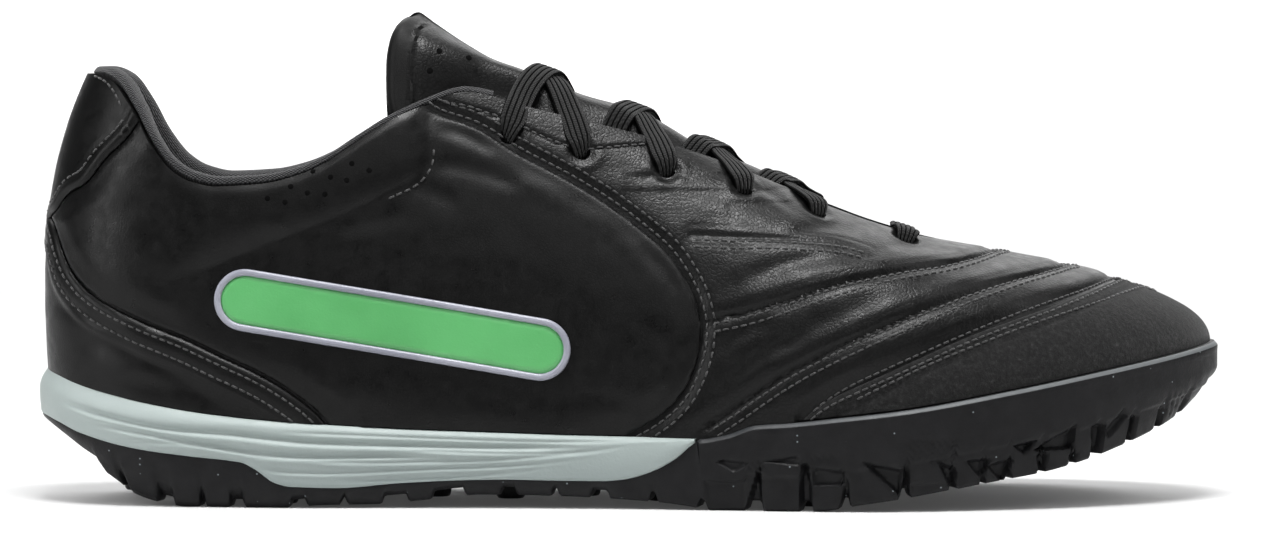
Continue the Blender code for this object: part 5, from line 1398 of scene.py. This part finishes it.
LUGS = [  # from, to
    (14.0, 19.5), (21.3, 30.0), (34.0, 41.0), (42.0, 48.5), (51.6, 63.5), (67.2, 76.0), (77.0, 86.0),
    (91.8, 98.0), (105.6, 114.6), (118.0, 127.0), (128.2, 136.4), (140.4, 150.5), (152.0, 162.2),
    (164.0, 173.6), (177.2, 186.8), (189.3, 196.4), (198.4, 211.2), (213.3, 223.8), (224.8, 231.2),
    (232.0, 237.6), (238.5, 245.6), (246.8, 253.6), (254.8, 259.6), (261.4, 268.8), (270.2, 276.8),
    (278.2, 283.8), (285.2, 289.4),
]
TIPS = [(0, 15.0), (6, 11.2), (9, 9.4), (13, 7.4), (17.5, 5.4), (21.3, 3.2), (29.7, 1.0), (38, 0.0), (64, 0.0),
        (70, 0.6), (85, 0.9), (95, 1.8), (110, 3.2), (127, 3.0), (150, 2.0), (160, 0.9), (165, 0.0), (190, 0.0),
        (200, 1.5), (213, 3.4), (226, 5.6), (236, 7.3), (246, 8.9), (258, 11.7), (266, 14.2), (272, 16.2),
        (280, 19.2), (286, 21.6), (292, 24.6)]
PARTING = [(0, 21.3), (0.3, 21.3), (5, 20.0), (11, 17.6), (24.8, 14.3), (38.4, 12.6), (51.3, 11.2), (55, 9.4),
           (59.5, 6.3), (63.5, 5.3), (75, 5.0), (89, 6.1), (102, 6.8), (116, 7.1), (130, 6.9), (139, 6.9),
           (144, 7.3), (150, 8.9), (156.7, 12.4), (160.1, 15.4), (162.2, 17.2)]
parting_at, tip_at = (monotone(*(np.array(rows) / MM).T) for rows in (PARTING, TIPS))
RECESSES = [  # depth in m, corners
    (0.0009, (164.0, 7.2), (173.6, 7.2), (173.4, -2), (164.2, -2)),
    (0.0020, (173.6, 0), (177.5, 0), (176.9, 10.5)),
    (0.0020, (186.5, 0), (189.5, 0), (188.5, 11.5), (187.4, 11.5)),
    (0.0012, (189.8, 10.6), (190.2, 6.6), (197.1, 7.0), (197.4, 9.8)),
    (0.0016, (196.2, 0), (198.7, 0), (197.9, 7.8)),
    (0.0016, (202.4, 12.0), (210.8, 4.2), (211.3, 10.0)), (0.0020, (210.8, 1), (213.6, 1), (212.6, 12.4)),
    (0.0008, (213.4, 7.0), (213.6, 0), (223.8, 1), (223.8, 7.0)),
    (0.0018, (220.4, 12.2), (223.7, 5.6), (224.8, 10.2)),
    (0.0016, (227.5, 12.2), (231.0, 8.2), (233.0, 12.6)), (0.0018, (232.6, 11.0), (236.4, 7.2), (238.6, 12.4)),
    (0.0016, (239.2, 15.6), (241.6, 13.8), (243.8, 16.6)), (0.0022, (244.4, 14.6), (253.8, 14.8), (254.0, 20.2)),
    (0.0016, (244.8, 13.4), (246.8, 5), (247.4, 13.6)), (0.0016, (253.2, 13.2), (254.8, 5), (255.4, 13.6)),
    (0.0020, (258.6, 20.0), (259.6, 9), (261.4, 9), (261.8, 20.0)),
    (0.0012, (262.3, 18.6), (263.3, 17.2), (267.4, 22.2), (266.2, 23.8)),
    (0.0018, (268.5, 21.7), (269.0, 12), (270.3, 12), (270.5, 21.7)),
    (0.0014, (276.4, 23.5), (277.0, 14), (278.1, 14), (278.4, 23.2)),
    (0.0014, (283.6, 25.2), (284.0, 17), (285.3, 17), (285.4, 25.0)),
    (0.0009, (179.0, 12.2), (186.2, 13.4), (186.6, 11.4)), (0.0009, (166.0, 12.6), (174.0, 11.6), (171.0, 9.6)),
]
FULL_BAND = 0.0062
PARTING_INSET = -0.0008
FOOTBED_CURVE = ((1.0, 0.72, 0.0), (1.0, 0.30, 0.0))
PARTING_CURVE = ((1.0, 0.72, 0.0), (1.0, 0.35, 0.0))


def window(value, start, stop, rise, fall=None):
    """1 between start and stop, with a slope inside each end."""
    return smooth_step(value, start, start + rise) * (1 - smooth_step(value, stop - (fall or rise), stop))


def lug_share(x, edge=0.5):
    """1 on a lug, 0 in the gaps between them, with a short slope between."""
    return np.max([window(x * MM, start - edge, stop + edge, 2 * edge) for start, stop in LUGS], axis=0)


def outline_wall(side, turns, grow, height):
    """Points over the outline, moved out by grow, for tables of grows and heights by turn."""
    return np.stack([to_row(*plan(side, turns, g), h) for g, h in zip(grow.T, height.T)], axis=1)


def outline_steps(side, turns, steps):
    """The same for a few grows and heights."""
    return np.stack([to_row(*plan(side, turns, grow), height + 0 * turns) for grow, height in steps], axis=1)


def cup(side, turns, grow, curve, edge_height, centre_height, lift=0.0):
    """A bowl from the outline, moved out by grow, to the spine. curve has its reaches and their rises."""
    (edge_x, edge_y), (spine_x, spine_y) = plan(side, turns, grow), spine(turns)
    made = []
    for reach, rise in zip(*curve):
        x, y = spine_x + (edge_x - spine_x) * reach, spine_y + (edge_y - spine_y) * reach
        middle = centre_height(x)
        made.append(to_row(x, y, middle + (edge_height - middle) * rise + lift))
    return np.stack(made, axis=1)


def footbed(side, turns, bite):
    return cup(side, turns, RIM_INSIDE - SHELF, FOOTBED_CURVE, bite - RIM_DEPTH, lambda x: footbed_at(x / LENGTH))


def parting_bowl(side, turns, curve, part, bite, lift=0.0):
    """The face in which the midsole lies on the outsole."""
    edge = np.minimum(part, bite - RIM_DEPTH - 0.0012)
    return cup(side, turns, PARTING_INSET, curve, edge, lambda x: PARTING_CENTRE + 0 * x, lift)


def sole_mesh(name, sections, finish, sharp, close=False):
    """A skin over the sections of the two sides, each a table of points by turn."""
    points = np.stack(sections)
    index = np.arange(points[..., 0].size).reshape(points.shape[:3])
    faces = strip_faces(index[0], closed=False) + strip_faces(index[1], closed=False)
    if close:
        faces += index[:, -1].tolist()
    return made_mesh(name, points.reshape(-1, 3), faces, finish, sharp=sharp)


def make_midsole():
    turns = turns_between(0.0, float(turn_of(MIDSOLE_FRONT / LENGTH)), 0.0011)
    rise = np.linspace(0, 1, 72)
    x = along_of(turns) * LENGTH
    bite = bite_at(along_of(turns))
    part = np.minimum(parting_at(x), bite - 0.0004)
    height = part[:, None] + rise[None, :] * (bite - part)[:, None]
    heel = 1 - smooth_step(x, 0.012, 0.060)[:, None]
    curl = np.clip((rise - 0.86 + 0.30 * heel) / (0.14 + 0.30 * heel), 0, 1) ** 2
    grow = -(0.0011 + 0.0007 * heel) * curl - 0.0002 * (1 - smooth_step(rise, 0.0, 0.06))[None, :]
    grow = grow + 0.0004 * np.sin(math.pi * rise)[None, :]
    for depth, width, spots in MIDSOLE_LINES:
        spots = np.array(spots)
        line = spline(*(spots / MM).T)(x)
        ends = window(x * MM, spots[0, 0], spots[-1, 0], 12, 22)[:, None]
        off = (height - line[:, None]) * MM
        grow = grow - depth * ends * (hump(off, 0, width) - 0.35 * hump(off, -1.5 * width, 1.3 * width))
    rim = [(-0.0019, bite + 0.0001), (RIM_INSIDE, bite), (RIM_INSIDE, bite - RIM_DEPTH)]
    below = tuple(values[::-1] for values in PARTING_CURVE)
    sections = [
        np.concatenate([parting_bowl(side, turns, below, part, bite, CLEARANCE),
                        outline_wall(side, turns, grow, height), outline_steps(side, turns, rim),
                        footbed(side, turns, bite)], axis=1)
        for side in SIDES
    ]
    ride(sole_mesh("midsole_foam", sections, FOAM, 50, close=True), "foam", "midsole")


def wall_relief(x, height):
    """How far the rubber's side stands back in its sculpted recesses and flutes."""
    mm, z = x * MM + 0 * height, height * MM
    back = np.zeros(z.shape)
    for depth, *corners in RECESSES:
        spots = np.array(corners)
        ahead = np.roll(spots, -1, axis=0) - spots
        turned = np.sign(np.cross(ahead[0], ahead[1]))
        away = np.max([turned * ((mm - px) * uz - (z - pz) * ux) / math.hypot(ux, uz)
                       for (px, pz), (ux, uz) in zip(spots, ahead)], axis=0)
        back = np.maximum(back, depth * np.clip(0.5 - away / 0.7, 0, 1))
    flutes, upright = (np.abs(np.sin(math.pi * (mm + lean * z) / pitch)) ** 0.6
                       for lean, pitch in ((0.9, 1.9), (0.15, 1.5)))
    for start, stop, low, high, ridges in ((212, 227, 11.5, 19.0, flutes), (188.5, 197, 11.5, 15.5, flutes),
                                           (171, 180, 9.0, 13.5, flutes), (276.5, 286, 20.5, 28.0, upright)):
        back += 0.0005 * (1 - ridges) * window(mm, start, stop, 2.5) * window(z, low, high, 1.5, 2)
    return back


def rubber_side(x, bite, rows, rear):
    """The rubber's side by turn and row: how far it is moved out, and its height. Its foot follows the lugs."""
    lug, tip = lug_share(x), tip_at(x)
    base = tip + np.where(x < 0.150, 0.0019, 0.0024)
    foot = base + (tip - base) * lug
    part = np.minimum(parting_at(x), bite - 0.0004) - 0.0001
    top = part if rear else bite - FULL_BAND
    level = np.linspace(0, 1, rows)[None, :]
    height = foot[:, None] + level * (top - foot)[:, None]
    round_in = np.interp(x, [0, 0.012, 0.035, 0.07, 0.16], [0.0088, 0.0068, 0.0030, 0.0022, 0.0022])[:, None]
    rear_grow = -round_in * (1 - level) ** 2.0 - 0.0003 - 0.0006 * (1 - smooth_step(level, 0.0, 0.10))
    rear_grow = rear_grow - (1 - lug)[:, None] * 0.0012 * (1 - smooth_step(level, 0.0, 0.4))
    climb = np.clip((height - foot[:, None]) / (bite - FULL_BAND - foot)[:, None], 0, 1)
    toe_in = np.interp(x, [0.16, 0.25, 0.28, 0.292], [0.0010, 0.0014, 0.0032, 0.0062])[:, None]
    fore_grow = -toe_in * (1 - climb) ** 1.9 - wall_relief(x[:, None], height)
    fore_grow = fore_grow - 0.0006 * (1 - smooth_step(climb, 0.0, 0.05))
    fore_grow = fore_grow - 0.0005 * (1 - smooth_step(climb, 0.52, 0.60)) * smooth_step(x, 0.162, 0.175)[:, None]
    fore_share = smooth_step(x, 0.122, 0.158)[:, None]
    grow = rear_grow + (fore_grow - 0.0003 * rear - rear_grow) * fore_share
    return grow, height, base, foot, part, top


def make_outsole():
    cell, rows = ((0.00058, 44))
    last_rear = float(turn_of((MIDSOLE_FRONT + CLEARANCE * 1.3) / LENGTH))
    first_fore = float(turn_of((MIDSOLE_FRONT + 0.0012) / LENGTH))
    inset = -LUG_DEEP - 0.0022
    sections = {side: [] for side in SIDES}
    for start, stop, rear in ((0.0, last_rear, True), (first_fore, 1.0, False)):
        turns = turns_between(start, stop, cell)
        x, bite = along_of(turns) * LENGTH, bite_at(along_of(turns))
        grow, height, base, foot, part, top = rubber_side(x, bite, rows, rear)
        feet = [(inset, base + 0.0003), (inset + 0.0007, foot + 0.0006), (inset + 0.0014, foot),
                (grow[:, 0] - 0.0022, foot)]
        band = [(0.0, top + 0.0004), (0.0, top + 0.0012), (0.0, top + 0.0026), (0.0, bite - 0.0026),
                (0.0001, bite - 0.0013), (0.0, bite - 0.0010), (-0.0008, bite - 0.0001), (-0.0012, bite),
                (-0.0017, bite), (RIM_INSIDE, bite - 0.0001), (RIM_INSIDE, bite - 0.0008),
                (RIM_INSIDE, bite - RIM_DEPTH)]
        if rear:
            band = [(PARTING_INSET, part)] * len(band)
        for side in SIDES:
            bowl = (parting_bowl(side, turns, PARTING_CURVE, part, bite) if rear
                    else footbed(side, turns, bite))
            sections[side].append(np.concatenate([
                cup(side, turns, inset, ((0.0, 1.0), (1.0, 1.0)), base + 0.0005, lambda x: 0 * x),
                outline_steps(side, turns, feet), outline_wall(side, turns, grow, height),
                outline_steps(side, turns, band), bowl], axis=1))
    piece = sole_mesh("outsole_rubber", [np.concatenate(sections[side]) for side in SIDES], RUBBER, 42)
    piece.data.materials.append(EDGE_HIGHLIGHT)
    # Bevel faces near the rim that face partly up get the painted highlight; the rest stay plain rubber.
    for face in piece.data.polygons:
        x, height = face.center.x + LENGTH / 2, face.center.z
        highlit_bevel = abs(face.normal.z) > 0.35 and face.normal.z < 0.93
        if x >= MIDSOLE_FRONT + 0.001 and highlit_bevel and height > float(bite_at(x / LENGTH)) - 0.00102:
            face.material_index = 1
    ride(piece, "rubber", "outsole")


def make_studs():
    """Rounded six-sided studs inside the edge lugs."""
    points, faces, corners = [], [], 12
    inside = LUG_DEEP + STUD_RADIUS + 0.0045
    angles = math.pi * np.arange(corners) / 6
    flats = np.where(np.arange(corners) % 2, 0.94, 1.0)
    for row in range(int(LENGTH / STUD_PITCH_X)):
        x = 0.024 + row * STUD_PITCH_X
        for place in range(-4, 5):
            offset = (place + 0.5 * (row % 2)) * STUD_PITCH_Y
            if x > LENGTH - inside or abs(offset) > float(half_at(turn_of(x / LENGTH))) - inside:
                continue
            centre = to_row(x, float(sway_at(x / LENGTH)) + offset, float(tread_at(x / LENGTH)) - LUG)
            top = LUG + 0.0042
            rings = [(0.0, 0.0006), (0.34, 0.0006), (0.40, 0), (0.80, 0), (0.90, 0.0005), (0.94, 0.0012),
                     (1.0, top - 0.002), (1.12, top)]
            faces += strip_faces(np.arange(len(rings) * corners).reshape(-1, corners) + len(points) * corners)
            for scale, z in rings:
                reach = STUD_RADIUS * scale * flats
                ring = [reach * np.cos(angles), reach * np.sin(angles), 0 * reach + z]
                points.append(centre + np.stack(ring, axis=1))
    ride(made_mesh("outsole_studs", np.concatenate(points), faces, RUBBER, sharp=40), "rubber")


def make_insole():
    turns = turns_between(0.0, 1.0, 0.003)
    bite = bite_at(along_of(turns)) - RIM_DEPTH
    reach = np.linspace(0, 0.985, 32)
    rise = np.interp(reach, [0, 0.72, INSOLE_REACH, 1.0], [0, 0.30, 0.825, 1.0])
    round_off = np.sqrt(1 - (1 - np.clip((1.0 - reach[::-1]) / 0.10, 0, 1)) ** 2)
    sections = []
    for side in SIDES:
        under = cup(side, turns, RIM_INSIDE - SHELF, (reach, rise), bite,
                    lambda x: footbed_at(x / LENGTH), CLEARANCE)
        over = under[:, ::-1].copy()
        over[..., 2] += INSOLE_THICK * (0.25 + 0.75 * round_off)[None, :]
        sections.append(np.concatenate([under, over], axis=1))
    ride(sole_mesh("footbed_textile", sections, TEXTILE, 60), "insole", "insole")


make_midsole()
make_outsole()
make_studs()
make_insole()


# Floor, lights and camera
def make_floor():
    look = Look("floor_paper", 0.75)
    look.surface.inputs["Emission Color"].default_value = (1, 1, 1, 1)
    look.surface.inputs["Emission Strength"].default_value = 0.05
    finish = look.finish(look.ramp(look.noise(3, 2), (0.3, grey(0.64)), (0.7, grey(0.66))))
    near, back, bend, rise, span = -5.5, 5.4, 0.7, 3.0, 6.0
    rows = [(near, 0.0), (back - bend, 0.0)]
    rows += [(back - bend + bend * math.sin(a), bend - bend * math.cos(a))
             for a in np.linspace(0.1, math.pi / 2, 10)]
    rows.append((back, rise))
    points = [(x, y, z) for y, z in rows for x in (-span, span)]
    mesh = bpy.data.meshes.new("floor")
    mesh.from_pydata(points, [], [[2 * i, 2 * i + 1, 2 * i + 3, 2 * i + 2] for i in range(len(rows) - 1)])
    place_in_scene("floor", mesh, finish)


def aimed(name, data, place, aim):
    made = bpy.data.objects.new(name, data)
    bpy.context.scene.collection.objects.link(made)
    made.location = place
    made.rotation_euler = (Vector(aim) - Vector(place)).to_track_quat("-Z", "Y").to_euler()
    return made


def make_lamps():
    middle = (0.0, 0.0, 0.05)
    for name, place, aim, energy, size_x, size_y in (
        ("top_soft", (0.05, -0.26, 1.0), middle, 12, 0.44, 0.20),
        ("ridge_strip", (-0.05, -0.62, 0.86), middle, 1.6, 0.8, 0.05),
        ("left_strip", (-0.80, -0.35, 0.42), middle, 3.4, 0.20, 0.8),
        ("front_soft", (0.00, -1.05, 0.60), middle, 1.0, 0.9, 0.25),
        ("right_strip", (0.8, -0.2, 0.5), middle, 2.2, 0.25, 0.8),
        ("floor_near", (0.0, 1.7, 2.1), (0.0, 1.8, 0.0), 64, 3.6, 1.8),
        ("floor_far", (0.0, 3.7, 2.1), (0.0, 3.9, 0.0), 80, 4.0, 1.8),
        ("wall_soft", (0.0, 4.3, 1.0), (0.0, 5.4, 0.2), 40, 4.0, 0.5),
    ):
        data = bpy.data.lights.new(name, "AREA")
        data.energy, data.shape = energy, "RECTANGLE"
        data.size, data.size_y = size_x, size_y
        aimed(name, data, place, aim)


def make_studio():
    world = bpy.data.worlds.new("studio")
    bpy.context.scene.world = world
    world.use_nodes = True
    background = world.node_tree.nodes["Background"]
    background.inputs[0].default_value = (0.95, 0.96, 1.0, 1)
    background.inputs[1].default_value = 0.05
    bpy.context.scene.view_settings.view_transform = "Standard"
    data = bpy.data.cameras.new("camera")
    data.lens, data.sensor_width = 180, 36
    data.clip_start, data.clip_end = 0.01, 20
    aim, tilt, far = Vector((0.0023, -0.012, 0.0572)), math.radians(2.5), 1.5754
    place = aim + Vector((0, -far * math.cos(tilt), far * math.sin(tilt)))
    bpy.context.scene.camera = aimed("camera", data, place, aim)


make_floor()
make_lamps()
make_studio()
